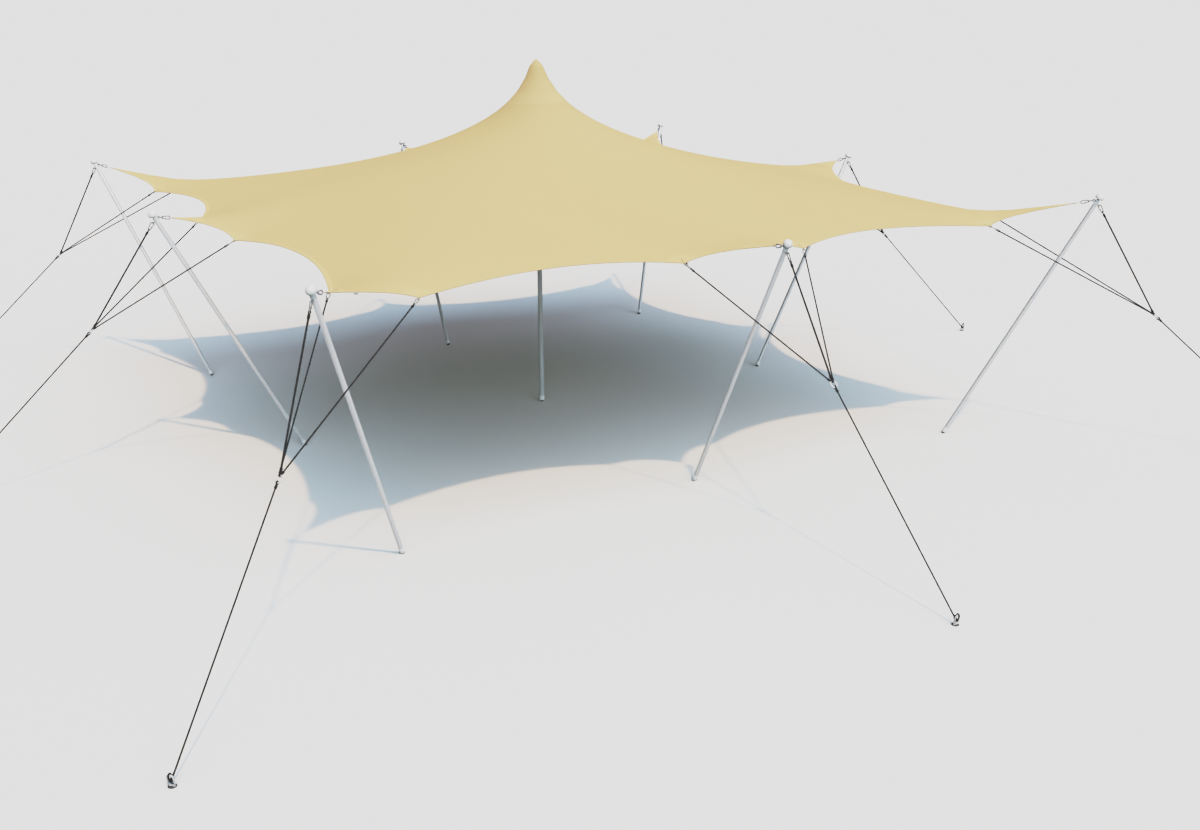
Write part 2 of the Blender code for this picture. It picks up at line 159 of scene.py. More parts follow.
# ---------------------------------------------------------------- materials
class Mat:
    """A material and short ways to wire its nodes."""

    def __init__(self, name, roughness, metallic=0.0, **sockets):
        self.mat = bpy.data.materials.new(name)
        self.mat.use_nodes = True
        self.tree = self.mat.node_tree
        self.shader = self.tree.nodes["Principled BSDF"]
        self.out = self.tree.nodes["Material Output"]
        self.shader.inputs["Roughness"].default_value = roughness
        self.shader.inputs["Metallic"].default_value = metallic
        for key, value in sockets.items():
            self.shader.inputs[key.replace("_", " ").title().replace("Ior", "IOR")].default_value = value

    def node(self, kind, **values):
        made = self.tree.nodes.new(kind)
        for key, value in values.items():
            setattr(made, key, value)
        return made

    def link(self, a, b):
        self.tree.links.new(a, b)

    def coords(self, which="Object", scale=(1, 1, 1), turn=(0, 0, 0)):
        """Coordinates in metres, or the piece's own map, scaled and turned."""
        source = self.node("ShaderNodeTexCoord").outputs[which]
        mapping = self.node("ShaderNodeMapping")
        mapping.inputs["Scale"].default_value = scale
        mapping.inputs["Rotation"].default_value = turn
        self.link(source, mapping.inputs["Vector"])
        return mapping.outputs["Vector"]

    def noise(self, vector, scale, detail=2.0, rough=0.5):
        made = self.node("ShaderNodeTexNoise")
        made.inputs["Scale"].default_value = scale
        made.inputs["Detail"].default_value = detail
        made.inputs["Roughness"].default_value = rough
        self.link(vector, made.inputs["Vector"])
        return made.outputs["Fac"]

    def wave(self, vector, scale, axis="X", distortion=0.0, shape="SIN"):
        made = self.node("ShaderNodeTexWave", bands_direction=axis, wave_profile=shape)
        made.inputs["Scale"].default_value = scale
        made.inputs["Distortion"].default_value = distortion
        made.inputs["Detail"].default_value = 0.0
        self.link(vector, made.inputs["Vector"])
        return made.outputs["Fac"]

    def maths(self, operation, a, b):
        made = self.node("ShaderNodeMath", operation=operation)
        for slot, value in zip(made.inputs, (a, b)):
            if isinstance(value, (int, float)):
                slot.default_value = value
            else:
                self.link(value, slot)
        return made.outputs["Value"]

    def ramp(self, fac, *stops):
        made = self.node("ShaderNodeValToRGB")
        ramp = made.color_ramp
        for i, (place, colour) in enumerate(stops):
            stop = ramp.elements[i] if i < 2 else ramp.elements.new(place)
            stop.position = place
            stop.color = (*colour, 1.0)
        self.link(fac, made.inputs["Fac"])
        return made.outputs["Color"]

    def blend(self, fac, a, b, mode="MIX"):
        made = self.node("ShaderNodeMix", data_type="RGBA", blend_type=mode)
        for slot, value in ((made.inputs[0], fac), (made.inputs[6], a), (made.inputs[7], b)):
            if isinstance(value, (int, float)):
                slot.default_value = value
            elif isinstance(value, tuple):
                slot.default_value = (*value, 1.0)
            else:
                self.link(value, slot)
        return made.outputs[2]

    def colour(self, value):
        self.link(value, self.shader.inputs["Base Color"])

    def roughness(self, fac, low, high):
        made = self.node("ShaderNodeMapRange")
        made.inputs["To Min"].default_value = low
        made.inputs["To Max"].default_value = high
        self.link(fac, made.inputs["Value"])
        self.link(made.outputs["Result"], self.shader.inputs["Roughness"])

    def bump(self, height, distance, strength=1.0):
        made = self.node("ShaderNodeBump")
        made.inputs["Distance"].default_value = distance
        made.inputs["Strength"].default_value = strength
        self.link(height, made.inputs["Height"])
        self.link(made.outputs["Normal"], self.shader.inputs["Normal"])
        return made.outputs["Normal"]


def scaled(colour, k):
    return tuple(min(1.0, c * k) for c in colour)


def cloth_material(name, base, glow, share):
    """Matt stretch knit: fine ribs in both directions, faint cloudiness, some light through it."""
    m = Mat(name, 0.86, sheen_weight=0.10, sheen_roughness=0.55, specular_ior_level=0.15)
    where = m.coords("Object")
    cloud = m.noise(where, 0.9, 2.0)
    fine = m.noise(where, 26.0, 3.0, 0.6)
    ribs = m.wave(where, 150.0, "X", 0.0)
    rows = m.wave(where, 190.0, "Y", 0.0)
    knit = m.maths("MULTIPLY", ribs, rows)
    mixed = m.maths("ADD", m.maths("MULTIPLY", cloud, 0.60), m.maths("MULTIPLY", fine, 0.40))
    tone = m.ramp(mixed, (0.25, scaled(base, 0.983)), (0.75, scaled(base, 1.017)))
    m.colour(m.blend(m.maths("MULTIPLY", knit, 0.10), tone, scaled(base, 0.80)))
    m.roughness(fine, 0.80, 0.92)
    normal = m.bump(m.maths("ADD", knit, m.maths("MULTIPLY", fine, 0.5)), 0.0004, 0.35)
    if share > 0:
        through = m.node("ShaderNodeBsdfTranslucent")
        through.inputs["Color"].default_value = (*glow, 1.0)
        m.link(normal, through.inputs["Normal"])
        mix = m.node("ShaderNodeMixShader")
        mix.inputs["Fac"].default_value = share
        m.link(m.shader.outputs["BSDF"], mix.inputs[1])
        m.link(through.outputs["BSDF"], mix.inputs[2])
        m.link(mix.outputs["Shader"], m.out.inputs["Surface"])
    return m.mat


SAND = (0.800, 0.690, 0.385)
CLOTH = cloth_material("sand_cloth", SAND, (0.80, 0.66, 0.34), 0.10)
HEM_CLOTH = cloth_material("sand_hem", scaled(SAND, 0.985), (0.80, 0.66, 0.34), 0.0)


def thread_material():
    m = Mat("sand_thread", 0.7, sheen_weight=0.2)
    where = m.coords("Object")
    twist = m.wave(where, 420.0, "DIAGONAL", 1.0)
    m.colour(m.ramp(twist, (0.0, scaled(SAND, 0.78)), (1.0, scaled(SAND, 0.98))))
    m.bump(twist, 0.0002, 0.4)
    return m.mat


def webbing_material(name, base):
    """Flat woven strap: ribs across it, two darker selvedge lines."""
    m = Mat(name, 0.8, sheen_weight=0.15, specular_ior_level=0.25)
    along = m.coords("UV", (1.0, 1.0, 1.0))
    rib = m.wave(along, 130.0, "Y", 0.3)
    grain = m.wave(along, 2.2, "X", 0.2)
    weave = m.maths("MULTIPLY", rib, m.maths("ADD", m.maths("MULTIPLY", grain, 0.5), 0.5))
    worn = m.noise(m.coords("Object"), 60.0, 3.0)
    tone = m.ramp(worn, (0.3, scaled(base, 0.90)), (0.7, scaled(base, 1.06)))
    m.colour(m.blend(m.maths("MULTIPLY", weave, 0.30), tone, scaled(base, 0.60)))
    m.bump(weave, 0.0006, 0.6)
    return m.mat


def tube_material(name, base, metal):
    """Anodised tube: pale, satin, drawn lines along it and faint handling marks."""
    m = Mat(name, 0.43, metal, coat_weight=0.10, coat_roughness=0.35, specular_ior_level=0.4)
    drawn = m.noise(m.coords("UV", (60.0, 0.9, 1.0)), 3.0, 4.0, 0.65)
    marks = m.noise(m.coords("Object"), 7.0, 4.0, 0.6)
    tone = m.ramp(drawn, (0.30, scaled(base, 0.93)), (0.70, scaled(base, 1.06)))
    m.colour(m.blend(m.maths("MULTIPLY", marks, 0.22), tone, scaled(base, 0.86)))
    m.roughness(m.maths("ADD", m.maths("MULTIPLY", drawn, 0.5), m.maths("MULTIPLY", marks, 0.5)), 0.34, 0.55)
    m.bump(drawn, 0.0002, 0.25)
    return m.mat


def white_material(name="white_knob", base=(0.80, 0.80, 0.80), rough=0.42):
    """Moulded, lightly pebbled white with scuffs."""
    m = Mat(name, rough, coat_weight=0.15, coat_roughness=0.3)
    where = m.coords("Object")
    pebble = m.noise(where, 420.0, 3.0)
    scuff = m.noise(where, 38.0, 5.0, 0.7)
    m.colour(m.ramp(scuff, (0.25, scaled(base, 0.91)), (0.62, base)))
    m.roughness(scuff, rough + 0.14, rough - 0.06)
    m.bump(m.maths("ADD", pebble, m.maths("MULTIPLY", scuff, 0.6)), 0.0003, 0.3)
    return m.mat


def shade_rubber_material():
    """Black moulded rubber, dusty where it meets the ground; its black is painted shade, the contact shadow under each
    foot.
    """
    m = Mat("black_rubber_painted_shade", 0.78, specular_ior_level=0.3)
    where = m.coords("Object")
    grain = m.noise(where, 260.0, 3.0, 0.6)
    dust = m.noise(where, 45.0, 4.0, 0.7)
    tone = m.ramp(grain, (0.3, (0.020, 0.020, 0.021)), (0.7, (0.034, 0.034, 0.035)))
    m.colour(m.blend(m.maths("MULTIPLY", dust, 0.35), tone, (0.075, 0.072, 0.068)))
    m.roughness(dust, 0.68, 0.88)
    m.bump(grain, 0.0003, 0.4)
    return m.mat


def steel_material(name="zinc_steel", base=(0.60, 0.61, 0.63), rough=0.36, metal=0.75):
    """Zinc-plated steel: mottled, a little brighter where it is rubbed."""
    m = Mat(name, rough, metal, specular_ior_level=0.5)
    where = m.coords("Object")
    spangle = m.node("ShaderNodeTexVoronoi", feature="F1")
    spangle.inputs["Scale"].default_value = 240.0
    m.link(where, spangle.inputs["Vector"])
    cloud = m.noise(where, 90.0, 4.0, 0.65)
    mixed = m.maths("ADD", m.maths("MULTIPLY", spangle.outputs["Distance"], 0.45),
                    m.maths("MULTIPLY", cloud, 0.65))
    m.colour(m.ramp(mixed, (0.25, scaled(base, 0.82)), (0.75, scaled(base, 1.16))))
    m.roughness(cloud, rough - 0.08, rough + 0.16)
    m.bump(cloud, 0.0003, 0.35)
    return m.mat


def rope_material(name="black_rope", base=(0.017, 0.016, 0.016)):
    """Laid fibre rope: yarns that run along each strand, dusty on the crowns."""
    m = Mat(name, 0.85, sheen_weight=0.08, sheen_roughness=0.5, specular_ior_level=0.2)
    around = m.coords("UV")
    yarn = m.wave(around, 2.6, "X", 0.0)
    cross = m.wave(around, 95.0, "Y", 0.6)
    fuzz = m.noise(m.coords("Object"), 900.0, 3.0, 0.7)
    lie = m.maths("ADD", m.maths("MULTIPLY", yarn, 0.5), m.maths("MULTIPLY", cross, 0.5))
    dusty = m.noise(m.coords("Object"), 14.0, 3.0)
    tone = m.ramp(lie, (0.15, scaled(base, 0.55)), (0.85, scaled(base, 1.5)))
    m.colour(m.blend(m.maths("MULTIPLY", dusty, 0.30), tone, (0.036, 0.035, 0.034)))
    m.roughness(fuzz, 0.75, 0.95)
    m.bump(m.maths("ADD", lie, m.maths("MULTIPLY", fuzz, 0.8)), 0.0006, 0.6)
    return m.mat


def cord_material():
    """Pale plaited cord: crossing yarns, a little grey where the plait's bump stands highest."""
    m = Mat("pale_cord", 0.75, sheen_weight=0.15, specular_ior_level=0.25)
    around = m.coords("UV")
    plait = m.maths("MULTIPLY", m.wave(around, 3.0, "X", 0.4), m.wave(around, 160.0, "Y", 0.4))
    worn = m.noise(m.coords("Object"), 120.0, 3.0)
    tone = m.ramp(worn, (0.3, (0.66, 0.65, 0.61)), (0.7, (0.76, 0.75, 0.71)))
    m.colour(m.blend(m.maths("MULTIPLY", plait, 0.25), tone, (0.48, 0.47, 0.44)))
    m.bump(plait, 0.0004, 0.5)
    return m.mat


THREAD = thread_material()
WEBBING = webbing_material("sand_webbing", (0.640, 0.570, 0.380))
TUBE = tube_material("pale_tube", (0.700, 0.712, 0.740), 0.40)
# darker copy of the tube's finish for the centre pole: painted shade, for the shade under the cloth
MAST_SHADED = tube_material("mast_tube", (0.600, 0.640, 0.655), 0.12)
WHITE = white_material()
# brighter copy of the knob's white for the feet: painted light, for the sun on the foot balls
FOOT_CAP_LIT = white_material("white_foot_lit", (0.93, 0.93, 0.93), 0.40)
# black for the tips of the ball feet: painted contact shade
SHADE_RUBBER = shade_rubber_material()
STEEL = steel_material("zinc_steel", (0.56, 0.565, 0.575), 0.50, 0.22)
# near-black for the stakes' plates: painted shade, the contact shadow at each stake's foot
SHADE_PLATE = steel_material("dark_plate_painted_shade", (0.045, 0.046, 0.048), 0.60, 0.20)
HOOK = steel_material("dull_hook", (0.20, 0.204, 0.21), 0.58, 0.14)
BOLT = steel_material("bright_bolt", (0.50, 0.51, 0.53), 0.30, 0.85)
ROPE = rope_material()
CORD = cord_material()
TWINE = rope_material("black_twine", (0.012, 0.012, 0.012))


# ---------------------------------------------------------------- mesh tools
class Shape:
    """Points and faces of one piece while it is being made."""

    def __init__(self):
        self.points, self.parts, self.total = [], [], 0

    def add(self, made, slot=0):
        """made is (points, [(corners, uv), ...]); a closed part is turned to face outwards."""
        points, polys = made
        volume = 0.0
        for corners, _ in polys:
            p = points[corners]
            for k in range(1, corners.shape[1] - 1):
                volume += np.einsum("ij,ij->", p[:, 0], np.cross(p[:, k], p[:, k + 1]))
        for corners, uv in polys:
            if volume < 0:
                corners, uv = corners[:, ::-1], uv[:, ::-1]
            self.parts.append((corners + self.total, uv, slot))
        self.points.append(points)
        self.total += len(points)
        return self

    def build(self, name, materials, degrees=0.0, body="root", replaces=(), slot=None, angle=38.0):
        points = np.concatenate(self.points)
        if degrees:
            a = math.radians(degrees)
            turn = np.array(((math.cos(a), -math.sin(a), 0), (math.sin(a), math.cos(a), 0), (0, 0, 1)))
            points = points @ turn.T
        mesh = bpy.data.meshes.new(name)
        mesh.vertices.add(len(points))
        mesh.vertices.foreach_set("co", points.astype(np.float32).ravel())
        sizes = np.concatenate([np.full(len(c), c.shape[1]) for c, _, _ in self.parts])
        corners = np.concatenate([c.ravel() for c, _, _ in self.parts])
        slots = np.concatenate([np.full(len(c), s) for c, _, s in self.parts])
        uvs = np.concatenate([u.reshape(-1, 2) for _, u, _ in self.parts])
        mesh.loops.add(len(corners))
        mesh.loops.foreach_set("vertex_index", corners.astype(np.int32))
        mesh.polygons.add(len(sizes))
        mesh.polygons.foreach_set("loop_start", np.concatenate(([0], np.cumsum(sizes)[:-1])).astype(np.int32))
        mesh.polygons.foreach_set("loop_total", sizes.astype(np.int32))
        mesh.polygons.foreach_set("material_index", slots.astype(np.int32))
        layer = mesh.uv_layers.new(name="run")
        layer.data.foreach_set("uv", uvs.astype(np.float32).ravel())
        for mat in materials:
            mesh.materials.append(mat)
        mesh.update(calc_edges=True)
        mesh.shade_smooth()
        mesh.set_sharp_from_angle(angle=math.radians(angle))
        obj = bpy.data.objects.new(name, mesh)
        bpy.context.scene.collection.objects.link(obj)
        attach(obj, body)
        if replaces:
            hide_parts(*replaces)
        return obj


def unit(v):
    v = np.asarray(v, float)
    return v / np.linalg.norm(v, axis=-1, keepdims=True)


def round_section(r, sides):
    a = 2 * math.pi * np.arange(sides) / sides
    return np.stack((r * np.cos(a), r * np.sin(a)), 1)


def strand_section(r, strands=3, per=4):
    """Outline of a laid rope: one soft lobe for each strand."""
    n = strands * per
    a = 2 * math.pi * np.arange(n) / n
    lobe = np.abs(np.cos(strands * a / 2))
    rad = r * (0.88 + 0.14 * lobe ** 0.8)
    return np.stack((rad * np.cos(a), rad * np.sin(a)), 1)


def flat_section(width, thick, corner=0.0006):
    """Outline of a strap: a rectangle with its corners taken off."""
    w, t, c = width / 2, thick / 2, corner
    return np.array(((-w + c, -t), (w - c, -t), (w, -t + c), (w, t - c),
                     (w - c, t), (-w + c, t), (-w, t - c), (-w, -t + c)))


def sweep(path, section, up=None, closed=False, turn=None, scale=None, caps=True):
    """A section carried along a path, square to it."""
    path = np.asarray(path, float)
    n, m = len(path), len(section)
    if closed:
        tangent = unit(np.roll(path, -1, 0) - np.roll(path, 1, 0))
    else:
        tangent = unit(np.gradient(path, axis=0))
    if up is not None:
        up = np.broadcast_to(np.asarray(up, float), path.shape)
        first = unit(np.cross(tangent, up))
    else:
        first = np.zeros_like(path)
        start = np.cross(tangent[0], (0.0, 0.0, 1.0))
        if np.linalg.norm(start) < 1e-3:
            start = np.cross(tangent[0], (0.0, 1.0, 0.0))
        first[0] = unit(start)
        for i in range(1, n):
            v = first[i - 1] - tangent[i] * (first[i - 1] @ tangent[i])
            first[i] = v / np.linalg.norm(v)
    second = np.cross(tangent, first)
    sec = np.broadcast_to(section, (n, m, 2)).copy()
    if scale is not None:
        sec *= np.asarray(scale, float)[:, None, None]
    if turn is not None:
        c, s = np.cos(turn)[:, None], np.sin(turn)[:, None]
        sec = np.stack((sec[..., 0] * c - sec[..., 1] * s, sec[..., 0] * s + sec[..., 1] * c), 2)
    points = path[:, None] + first[:, None] * sec[..., :1] + second[:, None] * sec[..., 1:]
    points = points.reshape(-1, 3)
    steps = n if closed else n - 1
    i, j = np.meshgrid(np.arange(steps), np.arange(m), indexing="ij")
    k, l = (i + 1) % n, (j + 1) % m
    quads = np.stack((i * m + j, i * m + l, k * m + l, k * m + j), 2).reshape(-1, 4)
    run = np.concatenate(([0], np.cumsum(np.linalg.norm(np.diff(np.vstack((path, path[:1])), axis=0), axis=1))))
    u0, u1, v0, v1 = j / m, (j + 1) / m, run[i], run[i + 1]
    uv = np.stack((np.stack((u0, v0), 2), np.stack((u1, v0), 2), np.stack((u1, v1), 2), np.stack((u0, v1), 2)), 2)
    polys = [(quads, uv.reshape(-1, 4, 2))]
    if not closed and caps:
        for end, back in ((0, True), (n - 1, False)):
            ring = end * m + np.arange(m)
            middle = len(points)
            points = np.vstack((points, path[end]))
            nxt = np.roll(ring, -1)
            tri = np.stack((np.full(m, middle), nxt, ring) if back else (np.full(m, middle), ring, nxt), 1)
            cap_uv = np.tile(np.array(((0.5, run[end]), (0.2, run[end]), (0.8, run[end]))), (m, 1, 1))
            polys.append((tri, cap_uv))
    return points, polys


def lathe(profile, sides, matrix=None):
    """A (radius, height) profile turned about Z. Radius 0 closes an end."""
    profile = np.asarray(profile, float)
    run = np.concatenate(([0], np.cumsum(np.linalg.norm(np.diff(profile, axis=0), axis=1))))
    a = 2 * math.pi * np.arange(sides) / sides
    points, rows = [], []
    for r, z in profile:
        if r < 1e-9:
            rows.append([len(points)])
            points.append((0.0, 0.0, z))
        else:
            rows.append(list(range(len(points), len(points) + sides)))
            points += [(r * math.cos(t), r * math.sin(t), z) for t in a]
    quads, quad_uv, tris, tri_uv = [], [], [], []
    for i in range(len(rows) - 1):
        low, high = rows[i], rows[i + 1]
        for j in range(sides):
            k = (j + 1) % sides
            u0, u1 = j / sides, (j + 1) / sides
            if len(low) == 1 and len(high) == 1:
                continue
            if len(low) == 1:
                tris.append((low[0], high[k], high[j]))
                tri_uv.append(((u0, run[i]), (u1, run[i + 1]), (u0, run[i + 1])))
            elif len(high) == 1:
                tris.append((low[j], low[k], high[0]))
                tri_uv.append(((u0, run[i]), (u1, run[i]), (u0, run[i + 1])))
            else:
                quads.append((low[j], low[k], high[k], high[j]))
                quad_uv.append(((u0, run[i]), (u1, run[i]), (u1, run[i + 1]), (u0, run[i + 1])))
    points = np.array(points)
    if matrix is not None:
        m = np.array(matrix)
        points = points @ m[:3, :3].T + m[:3, 3]
    polys = []
    if quads:
        polys.append((np.array(quads), np.array(quad_uv)))
    if tris:
        polys.append((np.array(tris), np.array(tri_uv)))
    return points, polys


def along(start, end):
    """Matrix that carries +Z at the origin to the line start -> end."""
    start, end = Vector(start), Vector(end)
    return Matrix.LocRotScale(start, (end - start).to_track_quat("Z", "Y"), None)


def basis(origin, x, y, z):
    x, y, z = (Vector(v) for v in (x, y, z))
    return Matrix(((x.x, y.x, z.x, origin[0]), (x.y, y.y, z.y, origin[1]),
                   (x.z, y.z, z.z, origin[2]), (0, 0, 0, 1)))


def resampled(path, step, closed=False):
    path = np.asarray(path, float)
    if closed:
        path = np.vstack((path, path[:1]))
    run = np.concatenate(([0], np.cumsum(np.linalg.norm(np.diff(path, axis=0), axis=1))))
    count = max(2, int(round(run[-1] / step)))
    t = np.linspace(0, run[-1], count + 1)
    if closed:
        t = t[:-1]
    return np.stack([np.interp(t, run, path[:, k]) for k in range(3)], 1)


def eased(path, passes, lock=1):
    """Corners of an open path rounded by averaging."""
    path = np.array(path, float)
    for _ in range(passes):
        path[lock:-lock] = 0.25 * path[lock - 1:-lock - 1] + 0.5 * path[lock:-lock] + 0.25 * path[lock + 1:len(path) - lock + 1]
    return path


def slab(grid, normals, low, high, wrap=False, uv=None):
    """Closed sheet between two offsets of a grid of surface points (a, b, 3)."""
    a, b = grid.shape[:2]
    low = np.broadcast_to(np.asarray(low, float), (a, b))[..., None]
    high = np.broadcast_to(np.asarray(high, float), (a, b))[..., None]
    points = np.concatenate(((grid + normals * high).reshape(-1, 3), (grid + normals * low).reshape(-1, 3)))
    if uv is None:
        uv = grid[..., :2]
    i, j = np.meshgrid(np.arange(a if wrap else a - 1), np.arange(b - 1), indexing="ij")
    k = (i + 1) % a
    top = np.stack((i * b + j, k * b + j, k * b + j + 1, i * b + j + 1), 2).reshape(-1, 4)
    flat = uv.reshape(-1, 2)
    polys = [(top, flat[top]), ((top + a * b)[:, ::-1], flat[top][:, ::-1])]
    rims = []
    if wrap:
        rims += [np.arange(a) * b, (np.arange(a) * b + b - 1)[::-1]]
        for ring in rims:
            nxt = np.roll(ring, -1)
            side = np.stack((nxt, ring, ring + a * b, nxt + a * b), 1)
            polys.append((side, flat[np.stack((nxt, ring, ring, nxt), 1)]))
    else:
        ring = np.concatenate((np.arange(a) * b, (a - 1) * b + np.arange(1, b),
                               np.arange(a - 2, -1, -1) * b + b - 1, np.arange(b - 2, 0, -1)))
        nxt = np.roll(ring, -1)
        side = np.stack((nxt, ring, ring + a * b, nxt + a * b), 1)
        polys.append((side, flat[np.stack((nxt, ring, ring, nxt), 1)]))
    return points, polys


# ---------------------------------------------------------------- membrane
def edge_points():
    """The edge of the cloth: kink, tip, kink at each station, anticlockwise."""
    points = []
    for _, degrees, s in STATIONS:
        a = math.radians(degrees)
        out, side = np.array((math.cos(a), math.sin(a))), np.array((-math.sin(a), math.cos(a)))
        kr, kt, kz = s["kink"]
        tr, tz = s["tip"]
        points.append((*(out * kr - side * kt), kz))
        points.append((*(out * tr), tz))
        points.append((*(out * kr + side * kt), kz))
    return np.array(points)


def form_find(long_div, short_div, rings, passes=3):
    """Shape of the tensioned net: rings of points from the cap to the edge."""
    posts = edge_points()
    edge, held, long_seg = [], [], []
    for i, p in enumerate(posts):
        q = posts[(i + 1) % len(posts)]
        n = long_div if i % 3 == 2 else short_div
        for k in range(n):
            edge.append(p + (q - p) * k / n)
            held.append(k == 0)
            long_seg.append(i % 3 == 2)
    edge, held, long_seg = np.array(edge), np.array(held), np.array(long_seg)
    centre = np.array(PEAK[:2])
    reach = edge[:, :2] - centre
    dist = np.hypot(reach[:, 0], reach[:, 1])
    way = reach / dist[:, None]
    top = PEAK[2] - CAP_DROP
    net = np.zeros((rings + 1, len(edge), 3))
    for j in range(rings + 1):
        s = (j / rings) ** RING_GRADE
        net[j, :, :2] = centre + way * (CAP_R + (dist - CAP_R) * s)[:, None]
        net[j, :, 2] = top + (edge[:, 2] - top) * s
    count = len(edge)
    ring = np.arange(count)
    after = np.roll(ring, -1)

    def spread(mid):
        r = np.hypot(mid[..., 0] - centre[0], mid[..., 1] - centre[1])
        return np.maximum(r, 0.05) ** RADIAL_POWER

    for _ in range(passes):
        mid = 0.5 * (net[:-1] + net[1:])
        length = np.linalg.norm(net[1:] - net[:-1], axis=2)
        width = 0.5 * np.linalg.norm(np.roll(mid, -1, 1) - np.roll(mid, 1, 1), axis=2)
        radial = width / length * spread(mid)
        nxt = np.roll(net, -1, 1)
        mid = 0.5 * (net + nxt)
        length = np.linalg.norm(nxt - net, axis=2)
        width = np.zeros_like(length)
        width[1:-1] = 0.5 * np.linalg.norm(mid[2:] - mid[:-2], axis=2)
        width[-1] = 0.5 * np.linalg.norm(mid[-1] - mid[-2], axis=1)
        hoop = HOOP_RATIO * width / length * spread(mid)
        pull = np.where(long_seg, EDGE_LONG_PULL, EDGE_SHORT_PULL)
        hoop[-1] += pull / length[-1] * 5.0 ** RADIAL_POWER
        gain, load = [None], [net[0].copy()]
        for j in range(1, rings + 1):
            outer = radial[j] if j < rings else np.zeros(count)
            block = np.diag(radial[j - 1] + outer + hoop[j] + np.roll(hoop[j], 1))
            block[ring, after] -= hoop[j]
            block[after, ring] -= hoop[j]
            if j == 1:
                right = radial[0][:, None] * net[0]
            else:
                block -= radial[j - 1][:, None] * gain[j - 1] * radial[j - 1][None, :]
                right = radial[j - 1][:, None] * load[j - 1]
            if j == rings:
                block[held] = 0.0
                block[held, ring[held]] = 1.0
                right = np.where(held[:, None], edge, right)
            inverse = np.linalg.inv(block)
            gain.append(inverse)
            load.append(inverse @ right)
        net[rings] = load[rings]
        for j in range(rings - 1, 0, -1):
            net[j] = gain[j] @ (radial[j][:, None] * net[j + 1]) + load[j]
    return net


def grid_normals(grid):
    """Upward normals of a wrapped grid (columns round, rows inwards)."""
    du = np.roll(grid, -1, 0) - np.roll(grid, 1, 0)
    dv = np.gradient(grid, axis=1)
    n = np.cross(du, dv)
    n *= np.sign(n[..., 2:3])
    return unit(n)


NET = form_find(EDGE_LONG, EDGE_SHORT, RINGS)
# the cone of cloth on the cap, from its foot up to a small blunt point
cone = []
for f in (0.80, 0.60, 0.42, 0.26, 0.12):
    drop = (math.sqrt(f * f + 0.0169) - 0.13) / (math.sqrt(1.0169) - 0.13)
    row = NET[0].copy()
    row[:, :2] = np.array(PEAK[:2]) + (row[:, :2] - np.array(PEAK[:2])) * f
    row[:, 2] = PEAK[2] - CAP_DROP * drop
    cone.append(row)
# columns run round the tent, rows from the edge inwards
GRID = np.stack([NET[j] for j in range(RINGS, -1, -1)] + cone, 1)
COUNT = GRID.shape[0]
NORMALS = grid_normals(GRID)
RUN = np.concatenate((np.zeros((COUNT, 1)), np.cumsum(np.linalg.norm(np.diff(GRID, axis=1), axis=2), axis=1)), 1)
POST = []                  # column of each kink, tip, kink
column = 0
for index in range(24):
    POST.append(column)
    column += EDGE_LONG if index % 3 == 2 else EDGE_SHORT


def on_cloth(columns, depth):
    """Point and normal on the cloth, depth metres in from the edge along its spoke."""
    columns = np.asarray(columns, float)
    depth = np.broadcast_to(np.asarray(depth, float), columns.shape)
    found, normal = np.zeros((*columns.shape, 3)), np.zeros((*columns.shape, 3))
    for index in np.ndindex(*columns.shape):
        c, d = columns[index], depth[index]
        lo = int(math.floor(c))
        t = c - lo
        for share, k in ((1 - t, lo % COUNT), (t, (lo + 1) % COUNT)):
            if share <= 0:
                continue
            r = RUN[k]
            i = min(max(int(np.searchsorted(r, d)) - 1, 0), len(r) - 2)
            u = (d - r[i]) / (r[i + 1] - r[i])
            found[index] += share * (GRID[k, i] + (GRID[k, i + 1] - GRID[k, i]) * u)
            normal[index] += share * (NORMALS[k, i] + (NORMALS[k, i + 1] - NORMALS[k, i]) * min(max(u, 0), 1))
    return found, unit(normal)


# how far in along each spoke one metre of hem width reaches
edge_way = np.zeros((COUNT, 2))
for c in range(COUNT):
    spoke = unit(GRID[c, 1] - GRID[c, 0])
    best = 0.0
    for other in ((c + 1) % COUNT, (c - 1) % COUNT):
        tangent = unit(GRID[other, 0] - GRID[c, 0])
        best = max(best, 1.0 / max(np.linalg.norm(np.cross(spoke, tangent)), 0.2))
    edge_way[c] = best
SLANT = edge_way[:, 0]


def build_canopy():
    shape = Shape()
    points, polys = slab(GRID, NORMALS, -CLOTH_T / 2, CLOTH_T / 2, wrap=True)
    b = GRID.shape[1]
    # the inner rim is closed by a blunt point instead
    del polys[3]
    apex_top, apex_low = len(points), len(points) + 1
    points = np.vstack((points, (PEAK[0], PEAK[1], PEAK[2] + 0.0), (PEAK[0], PEAK[1], PEAK[2] - CLOTH_T)))
    ring = np.arange(COUNT) * b + b - 1
    nxt = np.roll(ring, -1)
    top = np.stack((ring, nxt, np.full(COUNT, apex_top)), 1)
    low = np.stack((nxt + COUNT * b, ring + COUNT * b, np.full(COUNT, apex_low)), 1)
    uv = np.concatenate((points[:, :2],))
    polys += [(top, uv[top]), (low, uv[low])]
    shape.add((points, polys))
    return shape


